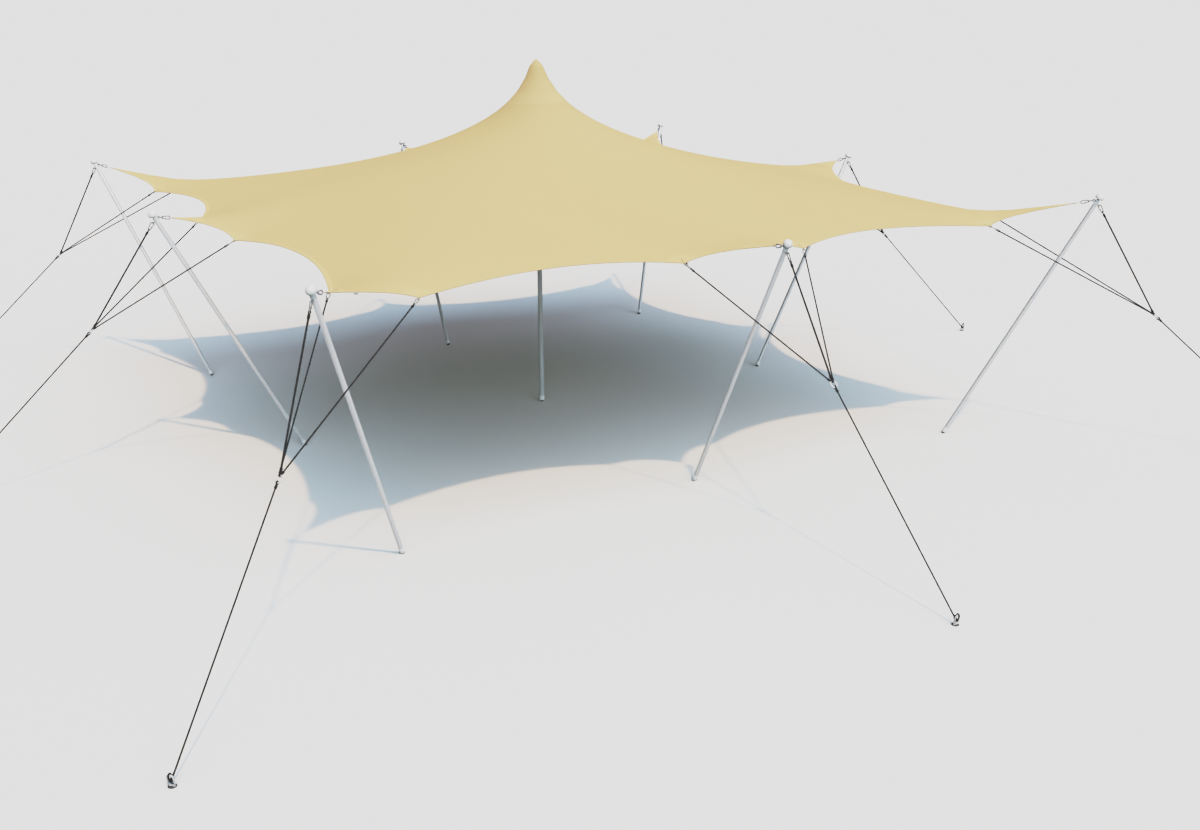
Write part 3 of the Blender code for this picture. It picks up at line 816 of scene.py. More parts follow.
def build_hem():
    """Folded hem with a cord in its fold, round the whole edge."""
    columns = np.arange(COUNT)
    reach = HEM * SLANT
    half = CLOTH_T / 2
    # (share of the hem's width, offset from the cloth's middle)
    outline = [(1.00, half - 0.0002), (0.97, half + 0.0009), (0.30, half + 0.0010), (0.19, half + 0.0016),
               (0.11, 0.0040), (0.02, 0.0046), (-0.055, 0.0030), (-0.085, 0.0)]
    outline += [(d, -o) for d, o in outline[-2::-1]]
    rows = []
    for share, offset in outline:
        p, n = on_cloth(columns, share * reach)
        rows.append(p + n * offset)
    grid = np.stack(rows, 1)
    a, b = grid.shape[:2]
    run = np.concatenate(([0], np.cumsum(np.linalg.norm(np.roll(GRID[:, 0], -1, 0) - GRID[:, 0], axis=1))))
    i, j = np.meshgrid(np.arange(a), np.arange(b - 1), indexing="ij")
    k = (i + 1) % a
    quads = np.stack((i * b + j, k * b + j, k * b + j + 1, i * b + j + 1), 2).reshape(-1, 4)
    u0, u1 = run[i], run[i + 1]
    v0, v1 = j / b, (j + 1) / b
    uv = np.stack((np.stack((u0, v0), 2), np.stack((u1, v0), 2), np.stack((u1, v1), 2), np.stack((u0, v1), 2)), 2)
    # the two inner lips meet inside the cloth
    i1 = np.arange(a)
    k1 = (i1 + 1) % a
    close = np.stack((i1 * b + b - 1, k1 * b + b - 1, k1 * b, i1 * b), 1)
    close_uv = np.stack((np.stack((run[:-1], run[:-1] * 0), 1),) * 4, 1)
    return Shape().add((grid.reshape(-1, 3), [(quads, uv.reshape(-1, 4, 2)), (close, close_uv)]))


def stitch_row(points, normals, pitch, length, width, height, closed=False, zigzag=0.0):
    """Small raised stitches along a line on the cloth."""
    if closed:
        points, normals = np.vstack((points, points[:1])), np.vstack((normals, normals[:1]))
    run = np.concatenate(([0], np.cumsum(np.linalg.norm(np.diff(points, axis=0), axis=1))))
    count = int(run[-1] / pitch)
    mid = (np.arange(count) + 0.5) * run[-1] / count

    def at(t):
        p = np.stack([np.interp(t, run, points[:, k]) for k in range(3)], 1)
        n = unit(np.stack([np.interp(t, run, normals[:, k]) for k in range(3)], 1))
        return p, n
    a, na = at(mid - length / 2)
    b, nb = at(mid + length / 2)
    m, nm = at(mid)
    way = unit(b - a)
    side = unit(np.cross(nm, way))
    lean = side * zigzag * np.where(np.arange(count) % 2 == 0, 1.0, -1.0)[:, None]
    a, b = a - lean, b + lean
    sink = 0.00015
    verts = np.stack((a - na * sink, b - nb * sink, m + side * width / 2 - nm * sink,
                      m - side * width / 2 - nm * sink, m + nm * height), 1).reshape(-1, 3)
    base = np.arange(count)[:, None] * 5
    tris = np.concatenate([base + np.array([t]) for t in ((0, 3, 4), (3, 1, 4), (1, 2, 4), (2, 0, 4))])
    quads = base + np.array([(0, 2, 1, 3)])
    return verts, [(tris, np.tile(np.array(((0, 0), (1, 0), (0.5, 1))), (len(tris), 1, 1)) * 0.01),
                   (quads, np.tile(np.array(((0, 0), (1, 0), (1, 1), (0, 1))), (len(quads), 1, 1)) * 0.01)]


def patch_columns(post, radius, steps):
    """Columns round a tip or kink whose edge point is within radius of it."""
    centre = GRID[post % COUNT, 0]
    ends = []
    for sign in (-1, 1):
        last = 0.0
        for k in range(1, 60):
            p = GRID[(post + sign * k) % COUNT, 0]
            d = np.linalg.norm(p - centre)
            if d > radius:
                before = np.linalg.norm(GRID[(post + sign * (k - 1)) % COUNT, 0] - centre)
                last = k - 1 + (radius - before) / (d - before)
                break
        ends.append(sign * last)
    half = steps // 2
    return post + np.concatenate((np.linspace(ends[0], 0, half + 1)[:-1], np.linspace(0, ends[1], half + 1)))


def patch_grid(post, radius, steps=24, rows=8, scallop=0.0):
    """Surface points of a patch: every point within radius of a tip or kink."""
    columns = patch_columns(post, radius, steps)
    centre = GRID[post % COUNT, 0]
    inner = []
    for c in columns:
        low, high = 0.0, radius * 2.2
        for _ in range(30):
            mid = 0.5 * (low + high)
            p, _ = on_cloth(np.array([c]), np.array([mid]))
            if np.linalg.norm(p[0] - centre) < radius:
                low = mid
            else:
                high = mid
        inner.append(low)
    inner = np.array(inner)
    inner[0] = max(inner[0], 0.0005)
    inner[-1] = max(inner[-1], 0.0005)
    share = np.linspace(0, 1, rows)
    grid, normals = on_cloth(np.repeat(columns[:, None], rows, 1), inner[:, None] * share[None, :])
    return grid, normals


def build_patches():
    """Doubled cloth at the tips, at the kinks and round the peak, with its stitching."""
    patches, stitches = Shape(), Shape()
    top, lift = CLOTH_T / 2, 0.0011
    for k, post in enumerate(POST):
        tip = k % 3 == 1
        radius = 0.36 if tip else 0.17
        grid, normals = patch_grid(post, radius, 28 if tip else 20, 9)
        for sign in (1, -1):
            low = np.full(grid.shape[:2], top - 0.0002)
            high = np.full(grid.shape[:2], top + lift)
            if sign > 0:
                patches.add(slab(grid, normals, low, high))
            else:
                patches.add(slab(grid, -normals, low, high))
        for radius_in in ((0.012, 0.020) if tip else (0.012,)):
            line, line_n = patch_grid(post, radius - radius_in, 28 if tip else 20, 2)
            line, line_n = line[:, 1], line_n[:, 1]
            for sign in (1, -1):
                n = line_n * sign
                stitches.add(stitch_row(line + n * (top + lift), n, 0.009, 0.0065, 0.0016, 0.0007))
    # peak: a ring of doubled cloth under the cone
    rows = []
    for radius in np.linspace(CAP_R * 0.15, PEAK_PATCH_R, 16):
        depth = []
        for c in range(COUNT):
            away = np.hypot(GRID[c, :, 0] - PEAK[0], GRID[c, :, 1] - PEAK[1])[::-1]
            depth.append(np.interp(radius, away, RUN[c][::-1]))
        rows.append(on_cloth(np.arange(COUNT), np.array(depth)))
    grid = np.stack([r[0] for r in rows], 1)
    normals = np.stack([r[1] for r in rows], 1)
    patches.add(slab(grid[::2], normals[::2], top - 0.0002, top + lift, wrap=True))
    for inset in (0.014, 0.024):
        depth = []
        for c in range(COUNT):
            away = np.hypot(GRID[c, :, 0] - PEAK[0], GRID[c, :, 1] - PEAK[1])[::-1]
            depth.append(np.interp(PEAK_PATCH_R - inset, away, RUN[c][::-1]))
        p, n = on_cloth(np.arange(COUNT), np.array(depth))
        stitches.add(stitch_row(p + n * (top + lift), n, 0.009, 0.0065, 0.0016, 0.0007, closed=True))
    # two rows along the hem, on both faces
    for share in (0.36, 0.90):
        p, n = on_cloth(np.arange(COUNT), HEM * share * SLANT)
        for sign in (1, -1):
            stitches.add(stitch_row(p + n * sign * (top + 0.0010), n * sign, 0.0105, 0.0075, 0.0017, 0.0007, closed=True))
    return patches, stitches


# ---------------------------------------------------------------- hardware
def stadium(centre, length_axis, width_axis, length, width, bar, ends=10):
    """Middle line of a link with straight sides and round ends."""
    centre, u, v = (np.asarray(x, float) for x in (centre, length_axis, width_axis))
    r = width / 2 - bar
    h = length / 2 - bar - r
    pts = []
    for side in (1, -1):
        for k in range(ends + 1):
            a = math.pi * (k / ends) - math.pi / 2
            pts.append(centre + side * (u * (h + r * math.cos(a)) + v * (r * math.sin(a))))
    return np.array(pts)


def circle(centre, u, v, r, count):
    centre, u, v = (np.asarray(x, float) for x in (centre, u, v))
    a = 2 * math.pi * np.arange(count) / count
    return centre + r * (u * np.cos(a)[:, None] + v * np.sin(a)[:, None])


def snap_hook(shape, near, way, across, length, r_near, r_far, bar, slot=0, gate_side=1):
    """Pear-shaped link from near along way, with a hinged gate and a screw sleeve on one side.

    r_near and r_far are the middle-line radii of its two bows. Returns their centres.
    """
    near, u, v = (np.asarray(x, float) for x in (near, way, across))
    normal = np.cross(u, v)
    v = v * gate_side
    c0, c1 = near + u * (bar + r_near), near + u * (length - bar - r_far)
    span = float(np.linalg.norm(c1 - c0))
    lean = math.asin((r_far - r_near) / span)
    gate_n = v * math.cos(lean) - u * math.sin(lean)
    back_n = -v * math.cos(lean) - u * math.sin(lean)

    def bow(centre, r, begin, end, steps):
        return [centre + r * (u * math.cos(a) + v * math.sin(a)) for a in np.linspace(begin, end, steps)]
    up = math.pi / 2 + lean
    low, high = c0 + gate_n * r_near, c1 + gate_n * r_far
    line = unit(high - low)
    reach = float(np.linalg.norm(high - low))
    body = [high - line * 0.0060, high - line * 0.0020]
    body += bow(c1, r_far, up, -up, 19)
    body += [c1 + back_n * r_far + (c0 + back_n * r_near - c1 - back_n * r_far) * t for t in (0.3, 0.7)]
    body += bow(c0, r_near, -up, up - 2 * math.pi, 17)
    body += [low + line * 0.0020, low + line * 0.0060]
    shape.add(sweep(np.array(body), round_section(bar, 12), up=normal), slot)
    # the gate: a slimmer bar with a ridged sleeve, a hinge pin and a rounded nose
    start, end = low + line * 0.0052, high - line * 0.0052
    span = float(np.linalg.norm(end - start))
    g = bar * 0.80
    sleeve, s0 = bar * 1.36, span * 0.40
    count = max(3, int(span * 0.34 / 0.003))
    profile = [(0.0, -0.0005), (g * 1.15, 0.0), (g * 1.15, 0.003), (g, 0.0038), (g, s0 - 0.001), (sleeve * 0.9, s0)]
    for k in range(count):
        z = s0 + 0.0008 + k * 0.003
        profile += [(sleeve, z), (sleeve, z + 0.0017), (sleeve * 0.93, z + 0.0022), (sleeve * 0.93, z + 0.0027)]
    s1 = s0 + 0.0008 + count * 0.003
    profile += [(sleeve * 0.9, s1 + 0.0002), (g, s1 + 0.0010), (g, span - 0.003), (g * 1.12, span - 0.002),
                (g * 1.12, span), (0.0, span + 0.0005)]
    shape.add(lathe(profile, 14, along(start, end)), slot)
    at = start + line * 0.0018
    pin = along(at - normal * (bar + 0.0006), at + normal * (bar + 0.0006))
    shape.add(lathe([(0.0, 0.0), (0.0012, 0.0), (0.0015, 0.0003), (0.0015, 2 * bar + 0.0009),
                     (0.0012, 2 * bar + 0.0012), (0.0, 2 * bar + 0.0012)], 10, pin), slot)
    return c0, c1


def hex_bolt(shape, at, way, size=0.0095, slot=0):
    """Hexagon head on a washer, flush on a surface."""
    at, way = np.asarray(at, float), unit(way)
    m = along(at, at + way)
    shape.add(lathe([(0.0, -0.001), (size * 0.95, -0.001), (size * 0.95, 0.0008), (size * 0.90, 0.0012), (0.0, 0.0012)], 20, m), slot)
    shape.add(lathe([(0.0, 0.0010), (size * 0.66, 0.0010), (size * 0.66, 0.0040), (size * 0.56, 0.0050), (0.0, 0.0050)], 6, m), slot)


def eye_line(centre, way, normal, radius, reach):
    """Rope line round a bar: in along the axis, round the far side and back out."""
    first = math.acos(min(0.98, radius / reach))
    pts = [centre + way * (reach + 0.020) + normal * radius * 0.30, centre + way * reach + normal * radius * 0.25]
    for a in np.linspace(first, 2 * math.pi - first, 22):
        pts.append(centre + radius * (way * math.cos(a) + normal * math.sin(a)))
    pts.append(centre + way * reach - normal * radius * 0.10)
    pts.append(centre + way * (reach + 0.020))
    return np.array(pts)


def laid_rope(shape, line, radius, pitch, slot=0, swell=None, steps=8, per=3):
    """A three-strand rope along a line."""
    line = resampled(line, pitch / steps)
    run = np.concatenate(([0], np.cumsum(np.linalg.norm(np.diff(line, axis=0), axis=1))))
    scale = None if swell is None else swell(run)
    shape.add(sweep(line, strand_section(radius, 3, per), turn=2 * math.pi * run / pitch, scale=scale), slot)


def slim_ends(first, last, slim):
    """Scale along a rope that is slimmer where it is doubled round a bar, up to inside its knot."""
    def scale(run):
        t = np.minimum(run - first, run[-1] - run - last) / 0.012 + 1.2
        t = np.clip(t, 0.0, 1.0)
        return slim + (1.0 - slim) * t * t * (3.0 - 2.0 * t)
    return scale


def span(line):
    return float(np.linalg.norm(np.diff(line, axis=0), axis=1).sum())


def coil(shape, centre, way, length, radius, bar, turns, slot, sides=7, per_turn=14):
    """Turns of cord wound tight round a rope, each end tucked in."""
    way = unit(way)
    a1 = np.cross(way, (0.0, 0.0, 1.0))
    if np.linalg.norm(a1) < 0.1:
        a1 = np.cross(way, (0.0, 1.0, 0.0))
    a1 = unit(a1)
    a2 = np.cross(way, a1)
    t = np.linspace(0, turns, int(turns * per_turn) + 1)
    r = np.where((t < 0.25) | (t > turns - 0.25), radius * 0.86, radius)
    line = (centre + way * ((t / turns - 0.5) * (length - 2 * bar))[:, None]
            + a1 * (r * np.cos(2 * math.pi * t))[:, None] + a2 * (r * np.sin(2 * math.pi * t))[:, None])
    shape.add(sweep(line, round_section(bar, sides)), slot)


def core(shape, centre, way, length, radius, slot, sides=12):
    """Filled middle of a knot, under its turns."""
    start, end = centre - way * length / 2, centre + way * length / 2
    span = float(np.linalg.norm(end - start))
    shape.add(lathe([(0.0, 0.0), (radius * 0.7, 0.0), (radius, span * 0.15), (radius, span * 0.85),
                     (radius * 0.7, span), (0.0, span)], sides, along(start, end)), slot)


def pole_frame(s):
    foot = np.array((s["foot"], 0.0, 0.0))
    head = np.array((s["head"][0], 0.0, s["head"][1]))
    axis = unit(head - foot)
    inward = np.array((-axis[2], 0.0, axis[0]))
    return foot, head, axis, inward


SIDE = np.array((0.0, 1.0, 0.0))


# the black tip on each ball foot reaches up to this angle: painted contact shade
FOOT_SHADE_LINE = math.radians(70)


def shade_rubber_foot(radius, centre_s):
    """Rubber tip of the foot, bottom to top: the lowest part of the ball, closed flat inside it; its black is painted
    contact shade.
    """
    pts = [(radius * math.sin(a), centre_s - radius * math.cos(a)) for a in np.linspace(0.0, FOOT_SHADE_LINE, 9)]
    rim, level = pts[-1]
    return pts + [(rim - 0.0008, level + 0.0008), (0.0, level + 0.0008)]


def foot_cap(radius, tube, centre_s):
    """White part of the foot, bottom to top: the rest of the ball, two grooves and a lip on the tube."""
    level = centre_s - radius * math.cos(FOOT_SHADE_LINE) + 0.0006
    pts = [(0.0, level), (radius * math.sin(FOOT_SHADE_LINE) - 0.0010, level)]
    pts += [(radius * math.sin(a), centre_s - radius * math.cos(a))
            for a in np.linspace(FOOT_SHADE_LINE + math.radians(3), math.pi / 2, 6)]
    for z in (0.014, 0.026):
        pts += [(radius, centre_s + z), (radius - 0.0009, centre_s + z + 0.0006),
                (radius - 0.0009, centre_s + z + 0.0020), (radius, centre_s + z + 0.0026)]
    pts += [(radius, centre_s + 0.0445), (radius - 0.0012, centre_s + 0.047), (tube - 0.0004, centre_s + 0.0475)]
    return pts + [(0.0, centre_s + 0.0475)]


def flat_on_ground(made):
    points, polys = made
    points = points.copy()
    points[:, 2] = np.maximum(points[:, 2], 0.0)
    return points, polys


def side_pole(s):
    foot, head, axis, _ = pole_frame(s)
    length = float(np.linalg.norm(head - foot))
    top = length - NECK_LEN - 0.009 - COLLAR_LEN - GAP
    centre_s = (FOOT_R - FOOT_SINK) / axis[2]
    m = along(foot, head)
    shape = Shape()
    # black tip of the foot: painted contact shade
    shape.add(flat_on_ground(lathe(shade_rubber_foot(FOOT_R, centre_s), 36, m)), 2)
    # white cap of the foot: the brighter copy of the white, painted light
    shape.add(flat_on_ground(lathe(foot_cap(FOOT_R, POLE_R, centre_s), 36, m)), 1)
    low = centre_s + 0.046
    tube = [(0.0, low), (POLE_R, low)]
    count = 12
    for k in range(1, count):
        tube.append((POLE_R, low + (top - low) * k / count))
    tube += [(POLE_R, top - 0.0010), (POLE_R - 0.0008, top), (0.0, top)]
    shape.add(lathe(tube, 36, m), 0)
    return shape


def head_points(s):
    foot, head, axis, inward = pole_frame(s)
    reach = COLLAR_R + EYE_R - 0.001
    low = -0.009 - NECK_LEN
    inner = head + axis * (low - 0.014) + inward * reach
    outer = head + axis * (low - 0.041) - inward * reach
    return inner, outer


def pole_knob(s):
    """Ball knob with a flat underside, on a neck and a clamped collar with two eyes."""
    foot, head, axis, inward = pole_frame(s)
    inner, outer = head_points(s)
    shape = Shape()
    m = basis(head, inward, SIDE, axis)
    low = -0.009 - NECK_LEN
    # ball, from its flat underside up
    under = -math.asin(HEAD_CUT / HEAD_R)
    rim = HEAD_R * math.cos(under)
    profile = [(0.0, -HEAD_CUT + 0.004), (rim - 0.012, -HEAD_CUT + 0.004), (rim - 0.010, -HEAD_CUT + 0.0006),
               (rim - 0.003, -HEAD_CUT), (rim - 0.0006, -HEAD_CUT + 0.0008)]
    for k in range(1, 15):
        a = under + (math.radians(82) - under) * k / 14
        profile.append((HEAD_R * math.cos(a), HEAD_R * math.sin(a)))
    profile += [(0.0055, HEAD_R - 0.0004), (0.0048, HEAD_R - 0.0018), (0.0, HEAD_R - 0.0018)]
    shape.add(lathe(profile, 40, m), 0)
    # neck
    shape.add(lathe([(0.0, low - 0.004), (NECK_R, low - 0.004), (NECK_R, low + 0.006), (NECK_R - 0.002, low + 0.008),
                     (NECK_R - 0.002, -HEAD_CUT - 0.004), (NECK_R + 0.004, -HEAD_CUT - 0.001),
                     (NECK_R + 0.004, -HEAD_CUT + 0.005), (0.0, -HEAD_CUT + 0.005)], 32, m), 0)
    # collar with a rolled lip at each end and a groove below each eye
    bottom = low - COLLAR_LEN
    profile = [(0.0, bottom), (COLLAR_R - 0.0016, bottom), (COLLAR_R, bottom + 0.0016), (COLLAR_R, bottom + 0.007),
               (COLLAR_R - 0.0012, bottom + 0.008), (COLLAR_R - 0.0012, bottom + 0.010), (COLLAR_R, bottom + 0.011),
               (COLLAR_R, low - 0.013), (COLLAR_R - 0.0012, low - 0.012), (COLLAR_R - 0.0012, low - 0.010),
               (COLLAR_R, low - 0.009), (COLLAR_R, low - 0.0030), (COLLAR_R - 0.0020, low - 0.0010), (0.0, low - 0.0010)]
    shape.add(lathe(profile, 36, m), 0)
    # eyes on short lugs
    for eye, way, other, face in ((inner, inward, axis, SIDE), (outer, -inward, SIDE, axis)):
        shape.add(sweep(circle(eye, inward, other, EYE_R, 28), round_section(EYE_BAR, 12), up=face, closed=True), 1)
        root = eye - way * (EYE_R + 0.0035)
        lug = along(root, root + way)
        shape.add(lathe([(0.0, -0.002), (0.0078, -0.002), (0.0078, 0.0020), (0.0062, 0.0042), (0.0, 0.0046)], 20, lug), 1)
    for sign in (1, -1):
        for z in (low - 0.0185, low - 0.0365):
            hex_bolt(shape, head + axis * z + SIDE * sign * (COLLAR_R - 0.0004), SIDE * sign, 0.0080, 2)
    return shape


def tip_link(s, tip_column):
    """Oval link in the knob's inner eye, the carabiner in it, and the cord loop through the cloth's eyelet."""
    inner, _ = head_points(s)
    tip = np.array((s["tip"][0], 0.0, s["tip"][1]))
    way = unit(tip - inner)
    far = tip - way * s["cord"]
    near = far - way * HEAD_LINK_LEN
    hard, eyelet, cord = Shape(), Shape(), Shape()
    snap_hook(hard, near, way, np.cross(SIDE, way), HEAD_LINK_LEN, OVAL_BAR + LINK_BAR + 0.0010,
              LINK_W / 2 - LINK_BAR, LINK_BAR, 0, -1)
    start, end = inner - way * 0.0003, near + way * 0.0203
    span = float(np.linalg.norm(end - start))
    middle = (start + end) / 2
    hard.add(sweep(stadium(middle, way, SIDE, span, OVAL_W, OVAL_BAR, 12), round_section(OVAL_BAR, 12),
                   up=np.cross(way, SIDE), closed=True), 0)
    nut = middle + SIDE * (OVAL_W / 2 - OVAL_BAR) - way * 0.0065
    hard.add(lathe([(0.0, 0.0), (0.0060, 0.0), (0.0066, 0.0008), (0.0066, 0.0122), (0.0060, 0.0130), (0.0, 0.0130)],
                   6, along(nut, nut + way)), 0)
    bar = far - way * LINK_BAR
    # eyelet: a rolled ring on each face of the cloth's tip
    turn = STATION_TURN(tip_column)
    depths = np.array((0.002, 0.014, 0.028, EYELET_DEPTH))
    p, n = on_cloth(np.full(len(depths), float(tip_column)), depths)
    p, n = p @ turn.T, n @ turn.T
    if n[-1][2] < 0:
        n = -n
    inside = unit(p[-1] - p[0])
    flush = CLOTH_T / 2 + 0.0016
    for sign in (1, -1):
        ring = circle(p[-1] + n[-1] * sign * flush, inside, SIDE, 0.0068, 24)
        eyelet.add(sweep(ring, flat_section(0.0042, 0.0022, 0.0008), up=n[-1], closed=True), 0)
    # cord: round the carabiner's far bow, over the tip, down through the eyelet and back below
    r = LINK_BAR + CORD_R + 0.0002
    lift = flush + 0.0014 + CORD_R
    round_bow = [bar + r * (way * math.cos(a) + SIDE * math.sin(a))
                 for a in np.linspace(math.radians(180), math.radians(275), 7)]
    home = [bar + r * (way * math.cos(a) + SIDE * math.sin(a))
            for a in np.linspace(math.radians(85), math.radians(180), 7)]
    low = [p[0] - n[0] * (CLOTH_T / 2 + CORD_R + 0.0012), p[1] - n[1] * lift, p[2] - n[2] * lift]
    high = [p[2] + n[2] * lift, p[1] + n[1] * lift, p[0] + n[0] * (CLOTH_T / 2 + CORD_R + 0.0012)]
    line = np.vstack((round_bow, low, [p[3] - n[3] * lift * 0.7, p[3], p[3] + n[3] * lift * 0.7], high, home))
    line = eased(resampled(line, 0.003), 4)
    laid_rope(cord, line, CORD_R, CORD_R * 6.6, 0, per=3)
    return hard, eyelet, cord


def STATION_TURN(tip_column):
    """Rotation that carries the tent's frame into the frame of the tip's station."""
    k = POST.index(tip_column) // 3
    a = -math.radians(STATIONS[k][1])
    return np.array(((math.cos(a), -math.sin(a), 0), (math.sin(a), math.cos(a), 0), (0, 0, 1)))


def rig_frame(s):
    ring = np.array((s["ring"][0], 0.0, s["ring"][1]))
    knot = np.array((s["stake"] + 0.002, 0.0, 0.052))
    guy = unit(knot - ring)
    return ring, knot, guy


def kink_strap(shape, s, sign, way, across, bar, post):
    """Strap from the cloth's kink round the near bow of its carabiner."""
    turn = STATION_TURN(POST[POST.index(post) // 3 * 3 + 1])
    depths = np.array((0.085, 0.055, 0.028, 0.008))
    p, n = on_cloth(np.full(len(depths), float(post)), depths)
    p, n = p @ turn.T, n @ turn.T
    top = p + n * (CLOTH_T / 2 + 0.0022)
    low = (p - n * (CLOTH_T / 2 + 0.0022))[::-1]
    normal = unit(np.cross(across, way))
    if normal[2] < 0:
        normal = -normal
    r = LINK_BAR + 0.0012
    arc = [bar + r * (way * math.cos(a) + normal * math.sin(a))
           for a in np.linspace(math.radians(100), math.radians(-100), 12)]
    line = eased(resampled(np.vstack((top, arc, low)), 0.005), 1)
    spoke = unit(p[0] - p[-1])
    wide = unit(np.cross(n[1], spoke))
    if wide @ across < 0:
        wide = -wide
    shape.add(sweep(line, flat_section(STRAP_WIDTH, 0.0015), up=wide), 0)


def bridle(s, base_post):
    """Ring, one thick rope to the pole's head and a thin rope to each kink, with their carabiners."""
    ring, _, guy = rig_frame(s)
    hard, ropes, straps = Shape(), Shape(), Shape()
    face = np.cross(guy, SIDE)
    hard.add(sweep(circle(ring, guy, SIDE, RING_R, 48), round_section(RING_BAR, 16), up=face, closed=True), 0)
    kr, kt, kz = s["kink"]
    _, outer = head_points(s)
    _, _, _, inward = pole_frame(s)
    starts = [(outer - inward * EYE_R, THICK_ROPE_R, -EYE_BAR - 2 * LINK_BAR - 0.0003, None),
              (np.array((kr, kt, kz)), THIN_ROPE_R, 0.010, base_post + 2),
              (np.array((kr, -kt, kz)), THIN_ROPE_R, 0.010, base_post)]
    for i, (start, radius, clear, post) in enumerate(starts):
        way = unit(ring - start)
        flat = unit(way - (way @ face) * face)
        end = ring - flat * RING_R
        way = unit(end - start)
        over = unit(np.cross(way, (0.0, 0.0, 1.0)) if post is not None else np.cross(SIDE, way))
        length = LINK_LEN if post is not None else LINK_LEN + 0.017
        near = start + way * clear
        wide, slim = LINK_W / 2 - LINK_BAR, (0.0115 if post is None else 0.0095)
        snap_hook(hard, near, way, over, length, wide, slim, LINK_BAR if post is None else 0.0044, 1,
                  1 if i != 1 else -1)
        if post is not None:
            kink_strap(straps, s, 1 if i == 1 else -1, way, over, near + way * LINK_BAR, POST[post % 24])
        # rope: an eye round the carabiner's far bow, another round the ring
        bow = near + way * (length - LINK_BAR)
        lift = unit(np.cross(over, way))
        thick = post is None
        knot_len = 0.042 if thick else 0.026
        reach = 0.024 if thick else 0.019
        slim = radius * (0.62 if thick else 0.56)
        head_eye = eye_line(bow, way, lift, LINK_BAR + slim * 0.92, reach)
        tangent = unit(np.cross(face, flat))
        round_ring = unit(np.cross(tangent, way))
        ring_eye = eye_line(end, -way, round_ring, RING_BAR + slim * 0.92, reach + 0.003)
        line = eased(resampled(np.vstack((head_eye, ring_eye[::-1])), radius * 0.5), 4)
        laid_rope(ropes, line, radius, radius * 6.6, 0, slim_ends(span(head_eye), span(ring_eye), slim / radius),
                  per=4 if thick else 3)
        for centre, direction in ((bow + way * (reach + knot_len / 2 - 0.002), way),
                                  (end - way * (reach + 0.003 + knot_len / 2 - 0.002), way)):
            if thick:
                core(ropes, centre, direction, knot_len, 0.0108, 1)
                coil(ropes, centre, direction, knot_len, 0.0112, 0.0025, 8, 1, 6, 16)
            else:
                core(ropes, centre, direction, knot_len * 0.9, 0.0084, 0)
                coil(ropes, centre, direction, knot_len, 0.0090, 0.0028, 4.6, 0, 8, 18)
    return hard, ropes, straps


def guy_rope(s):
    """Guy rope: an eye on the ring, a straight run and a loop over the ground eye's top bar."""
    ring, knot, guy = rig_frame(s)
    shape = Shape()
    radius = THIN_ROPE_R
    bar = ring + guy * RING_R
    face = np.cross(guy, SIDE)
    first = eye_line(bar, guy, face, RING_BAR + radius * 0.92, 0.026)
    up = np.array((math.sin(STAKE_LEAN), 0.0, math.cos(STAKE_LEAN)))
    top = np.array((s["stake"], 0.0, 0.0)) + up * (STAKE_H + 0.001 - STAKE_BAR)
    out = np.array((up[2], 0.0, -up[0]))
    gone = knot + guy * -0.020
    r = STAKE_BAR + radius * 0.95
    under = knot + guy * 0.018
    loop = [gone, knot + guy * 0.002, under, top + out * (r + 0.002) - up * 0.026, top + out * r]
    for a in np.linspace(math.radians(20), math.radians(160), 9):
        loop.append(top + r * (out * math.cos(a) + up * math.sin(a)))
    loop += [top - out * (r + 0.001) - up * 0.010, knot - guy * 0.026 + np.array((0, 0, 0.006)),
             knot - guy * 0.050 + np.array((0, 0, 0.004))]
    line = eased(resampled(np.vstack((first, np.array(loop))), radius * 0.5), 5)
    laid_rope(shape, line, radius, radius * 6.6, 0, per=3)
    for centre, length, width in ((bar + guy * 0.040, 0.032, 0.0096), (knot - guy * 0.002, 0.044, 0.0118)):
        core(shape, centre, guy, length * 0.9, width - 0.0012, 0)
        coil(shape, centre, guy, length, width, 0.0036, length / 0.0070, 0, 8, 18)
    return shape


def ground_eye(s):
    """Eye of a ground stake on its round plate, with a weld bead where it enters the plate; the plate's near-black is
    painted contact shade.
    """
    base = np.array((s["stake"], 0.0, 0.0))
    up = np.array((math.sin(STAKE_LEAN), 0.0, math.cos(STAKE_LEAN)))
    shape = Shape()
    line = stadium(base + up * (STAKE_H / 2 + 0.001), up, SIDE, STAKE_H, STAKE_W, STAKE_BAR, 14)
    shape.add(flat_on_ground(sweep(line, round_section(STAKE_BAR, 16), up=np.cross(up, SIDE), closed=True)), 0)
    m = Matrix.Translation(Vector(base))
    # round plate, near-black: painted contact shade
    r, h = STAKE_PLATE_R, STAKE_PLATE_H
    shape.add(lathe([(0.0, 0.0), (r - 0.001, 0.0), (r, 0.001), (r, h * 0.55), (r - 0.0030, h - 0.0004),
                     (r * 0.62, h), (r * 0.58, h - 0.0008), (0.0, h - 0.0008)], 40, m), 1)
    for sign in (1, -1):
        foot = base + SIDE * sign * 0.0175 + np.array((0.0014, 0.0, h - 0.001))
        shape.add(lathe([(0.0, -0.001), (0.0110, -0.001), (0.0100, 0.0014), (0.0078, 0.0034), (0.0, 0.0036)], 18,
                        Matrix.Translation(Vector(foot))), 0)
    return shape


# ---------------------------------------------------------------- assembly
canopy = build_canopy().build("canopy_cloth", [CLOTH], replaces=("canopy",), slot="membrane", angle=60)
hem = build_hem().build("canopy_hem", [HEM_CLOTH], slot="membrane", angle=50)
patch_shape, stitch_shape = build_patches()
patches = patch_shape.build("canopy_patches", [HEM_CLOTH], slot="membrane", angle=50)
stitches = stitch_shape.build("canopy_stitching", [THREAD], slot="membrane", angle=20)

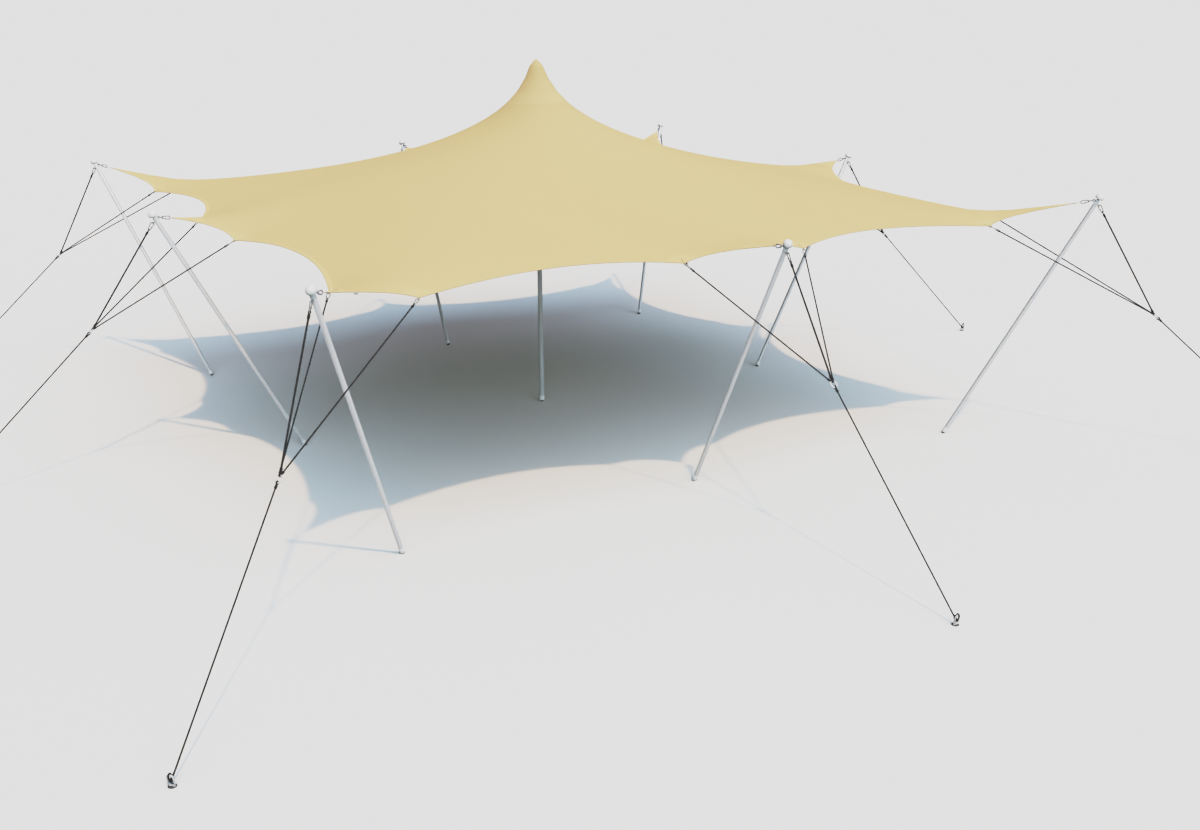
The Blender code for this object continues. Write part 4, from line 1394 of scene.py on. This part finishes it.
made = {}
for kind, s, station in (("corner", CORNER, 1), ("middle", MIDDLE, 0)):
    tip_column = POST[station * 3 + 1]
    hard, eyelet, cord = tip_link(s, tip_column)
    rig_hard, rig_ropes, rig_straps = bridle(s, station * 3)
    made[kind] = dict(tube=side_pole(s), knob=pole_knob(s), link=hard, eyelet=eyelet, cord=cord, rig=rig_hard,
                      ropes=rig_ropes, kinks=rig_straps, guy=guy_rope(s), eye=ground_eye(s))

for name, degrees, s in STATIONS:
    kit = made["corner" if s is CORNER else "middle"]
    kit["tube"].build(f"tube_{name}", [TUBE, FOOT_CAP_LIT, SHADE_RUBBER], degrees, replaces=(f"pole_{name}",), slot="pole_tube")
    kit["knob"].build(f"knob_{name}", [WHITE, HOOK, BOLT], degrees, replaces=(f"pole_head_{name}",), slot="pole_head")
    kit["link"].build(f"tip_carabiner_{name}", [HOOK], degrees, replaces=(f"pole_head_{name}",), slot="steel")
    kit["cord"].build(f"tip_cord_{name}", [CORD], degrees, replaces=(f"pole_head_{name}",), slot="rope")
    kit["eyelet"].build(f"tip_eyelet_{name}", [STEEL], degrees, slot="steel")
    kit["kinks"].build(f"kink_straps_{name}", [WEBBING], degrees, slot="membrane")
    kit["rig"].build(f"bridle_links_{name}", [STEEL, HOOK], degrees, replaces=(f"guy_bridle_{name}",), slot="steel")
    kit["ropes"].build(f"bridle_ropes_{name}", [ROPE, TWINE], degrees, replaces=(f"guy_bridle_{name}",), slot="rope")
    kit["guy"].build(f"guy_{name}", [ROPE], degrees, replaces=(f"guy_rope_{name}",), slot="rope")
    kit["eye"].build(f"ground_eye_{name}", [STEEL, SHADE_PLATE], degrees, replaces=(f"stake_{name}",), slot="steel")

# centre pole and its cap
place = Matrix.Translation(Vector((PEAK[0], PEAK[1], 0.0)))
top = PEAK[2] - CAP_DROP - 0.055
mast = Shape()
# black tip under the centre pole's foot: painted contact shade
mast.add(flat_on_ground(lathe(shade_rubber_foot(CENTRE_FOOT_R, CENTRE_FOOT_R - FOOT_SINK), 40, place)), 2)
# white cap of the centre pole's foot: the brighter copy of the white, painted light
mast.add(flat_on_ground(lathe(foot_cap(CENTRE_FOOT_R, CENTRE_POLE_R, CENTRE_FOOT_R - FOOT_SINK), 40, place)), 1)
low = CENTRE_FOOT_R - FOOT_SINK + 0.046
tube = [(0.0, low), (CENTRE_POLE_R, low)]
tube += [(CENTRE_POLE_R, low + (top - low) * k / 16) for k in range(1, 16)]
tube += [(CENTRE_POLE_R, top - 0.001), (CENTRE_POLE_R - 0.001, top), (0.0, top)]
mast.add(lathe(tube, 40, place), 0)
# the centre pole takes the darker copy of the tube's finish: painted shade
mast.build("mast_tube", [MAST_SHADED, FOOT_CAP_LIT, SHADE_RUBBER], replaces=("centre_pole",), slot="pole_tube")
slack = 0.005 + 0.0015
slope = CAP_DROP / CAP_R
lift = slack * math.hypot(1, slope)
rim = CAP_R - 0.010
cap_profile = [(0.0, top + GAP), (0.038, top + GAP), (0.040, top + GAP + 0.002), (0.040, PEAK[2] - lift - rim * slope - 0.031),
               (0.043, PEAK[2] - lift - rim * slope - 0.029), (rim - 0.003, PEAK[2] - lift - rim * slope - 0.019),
               (rim, PEAK[2] - lift - rim * slope - 0.016), (rim, PEAK[2] - lift - rim * slope - 0.002),
               (rim - 0.002, PEAK[2] - lift - (rim - 0.002) * slope)]
for k in range(1, 8):
    r = rim + (0.016 - rim) * k / 8
    cap_profile.append((r, PEAK[2] - lift - r * slope - 0.001 * k / 8))
cap_profile += [(0.016, PEAK[2] - lift - 0.017), (0.008, PEAK[2] - lift - 0.0135), (0.0, PEAK[2] - lift - 0.012)]
Shape().add(lathe(cap_profile, 48, place)).build("mast_cap", [WHITE], replaces=("centre_pole_cap",), slot="pole_head")

# ---------------------------------------------------------------- floor, light
HORIZON = 900.0
floor_mat = Mat("floor_white", 1.0, specular_ior_level=0.0)
floor_mat.shader.inputs["Base Color"].default_value = (0.80, 0.80, 0.80, 1.0)
floor_mesh = bpy.data.meshes.new("floor")
floor_mesh.from_pydata([(-HORIZON, -HORIZON, 0), (HORIZON, -HORIZON, 0), (HORIZON, HORIZON, 0), (-HORIZON, HORIZON, 0)],
                       [], [(0, 1, 2, 3)])
floor_mesh.materials.append(floor_mat.mat)
floor = bpy.data.objects.new("floor", floor_mesh)
floor.location.z = -0.0006
# the light that the floor sends up is the lower half of the world instead
floor.visible_diffuse = False
bpy.context.scene.collection.objects.link(floor)

# pale backdrop all round, as bright as the floor where they meet; only the camera sees it
backdrop_mat = bpy.data.materials.new("backdrop_white")
backdrop_mat.use_nodes = True
backdrop_tree = backdrop_mat.node_tree
backdrop_tree.nodes.remove(backdrop_tree.nodes["Principled BSDF"])
paint = backdrop_tree.nodes.new("ShaderNodeEmission")
paint.inputs["Color"].default_value = (*BACKDROP, 1.0)
backdrop_tree.links.new(paint.outputs["Emission"], backdrop_tree.nodes["Material Output"].inputs["Surface"])
reach = HORIZON * 0.97
dome_profile = [(reach * math.cos(a), reach * math.sin(a) - 1.0) for a in np.linspace(0.0, math.pi / 2 - 0.03, 16)]
dome_points, dome_faces = lathe(dome_profile + [(0.0, reach - 1.0)], 48)
dome_mesh = bpy.data.meshes.new("backdrop")
dome_mesh.from_pydata(dome_points.tolist(), [], [c.tolist() for corners, _ in dome_faces for c in corners])
dome_mesh.materials.append(backdrop_mat)
backdrop = bpy.data.objects.new("backdrop", dome_mesh)
for ray in ("diffuse", "glossy", "transmission", "shadow", "volume_scatter"):
    setattr(backdrop, f"visible_{ray}", False)
bpy.context.scene.collection.objects.link(backdrop)

# the cloth has a soft light of its own from above, the rest a low sun and soft lamps from the front
cloth_set = bpy.data.collections.new("cloth")
rest_set = bpy.data.collections.new("floor_and_rig")
cloth_pieces = [canopy, hem, patches, stitches]
for piece in cloth_pieces:
    cloth_set.objects.link(piece)
for obj in bpy.context.scene.objects:
    if obj.type == "MESH" and obj not in cloth_pieces and obj != backdrop:
        rest_set.objects.link(obj)


def lamp(name, azimuth, elevation, width, strength, receivers):
    """A distant lamp at a place in the sky, as wide as an angle, with a strength for each colour."""
    data = bpy.data.lights.new(name, "SUN")
    data.energy = max(strength)
    data.color = [c / max(strength) for c in strength]
    data.angle = math.radians(width)
    a, e = math.radians(azimuth), math.radians(elevation)
    way = Vector((math.cos(e) * math.cos(a), math.cos(e) * math.sin(a), math.sin(e)))
    obj = bpy.data.objects.new(name, data)
    obj.matrix_world = (-way).to_track_quat("-Z", "Y").to_matrix().to_4x4()
    bpy.context.scene.collection.objects.link(obj)
    obj.light_linking.receiver_collection = receivers
    return obj


for name, azimuth, elevation, width, strength in LAMPS:
    lamp(name, azimuth, elevation, width, [math.pi * c for c in strength], rest_set)
lamp("cloth_light", *CLOTH_LIGHT, cloth_set)
lamp("cloth_front", *CLOTH_FRONT, cloth_set)

world = bpy.data.worlds.new("soft_sky")
world.use_nodes = True
tree = world.node_tree
up_or_down = tree.nodes.new("ShaderNodeMath")
up_or_down.operation = "GREATER_THAN"
up_or_down.inputs[1].default_value = 0.0
split = tree.nodes.new("ShaderNodeSeparateXYZ")
tree.links.new(tree.nodes.new("ShaderNodeTexCoord").outputs["Generated"], split.inputs[0])
tree.links.new(split.outputs["Z"], up_or_down.inputs[0])
halves = tree.nodes.new("ShaderNodeMix")
halves.data_type = "RGBA"
halves.inputs[6].default_value = (*GROUND_LIGHT, 1.0)
halves.inputs[7].default_value = (*SKY_LIGHT, 1.0)
tree.links.new(up_or_down.outputs[0], halves.inputs[0])
tree.links.new(halves.outputs[2], tree.nodes["Background"].inputs["Color"])
bpy.context.scene.world = world

# highlights roll off softly above the knee, as they do on film
settings = bpy.context.scene.view_settings
settings.view_transform = "Standard"
settings.look = "None"
settings.exposure = 0.0
settings.gamma = 1.0
settings.use_curve_mapping = True
mapping = settings.curve_mapping
mapping.extend = "HORIZONTAL"
mapping.clip_max_x = 1.0
mapping.white_level = (FILM_WHITE, FILM_WHITE, FILM_WHITE)
curve = mapping.curves[3]
FILM = [(0.0, 0.0), (FILM_KNEE / FILM_WHITE * 0.5, FILM_KNEE * 0.5)]
for x in np.linspace(FILM_KNEE, FILM_WHITE, 12):
    span = FILM_TOP - FILM_KNEE
    FILM.append((x / FILM_WHITE, FILM_KNEE + span * (1 - math.exp(-(x - FILM_KNEE) / span))))
curve.points[0].location = FILM[0]
curve.points[1].location = FILM[-1]
for x, y in FILM[1:-1]:
    curve.points.new(x, y)
mapping.update()
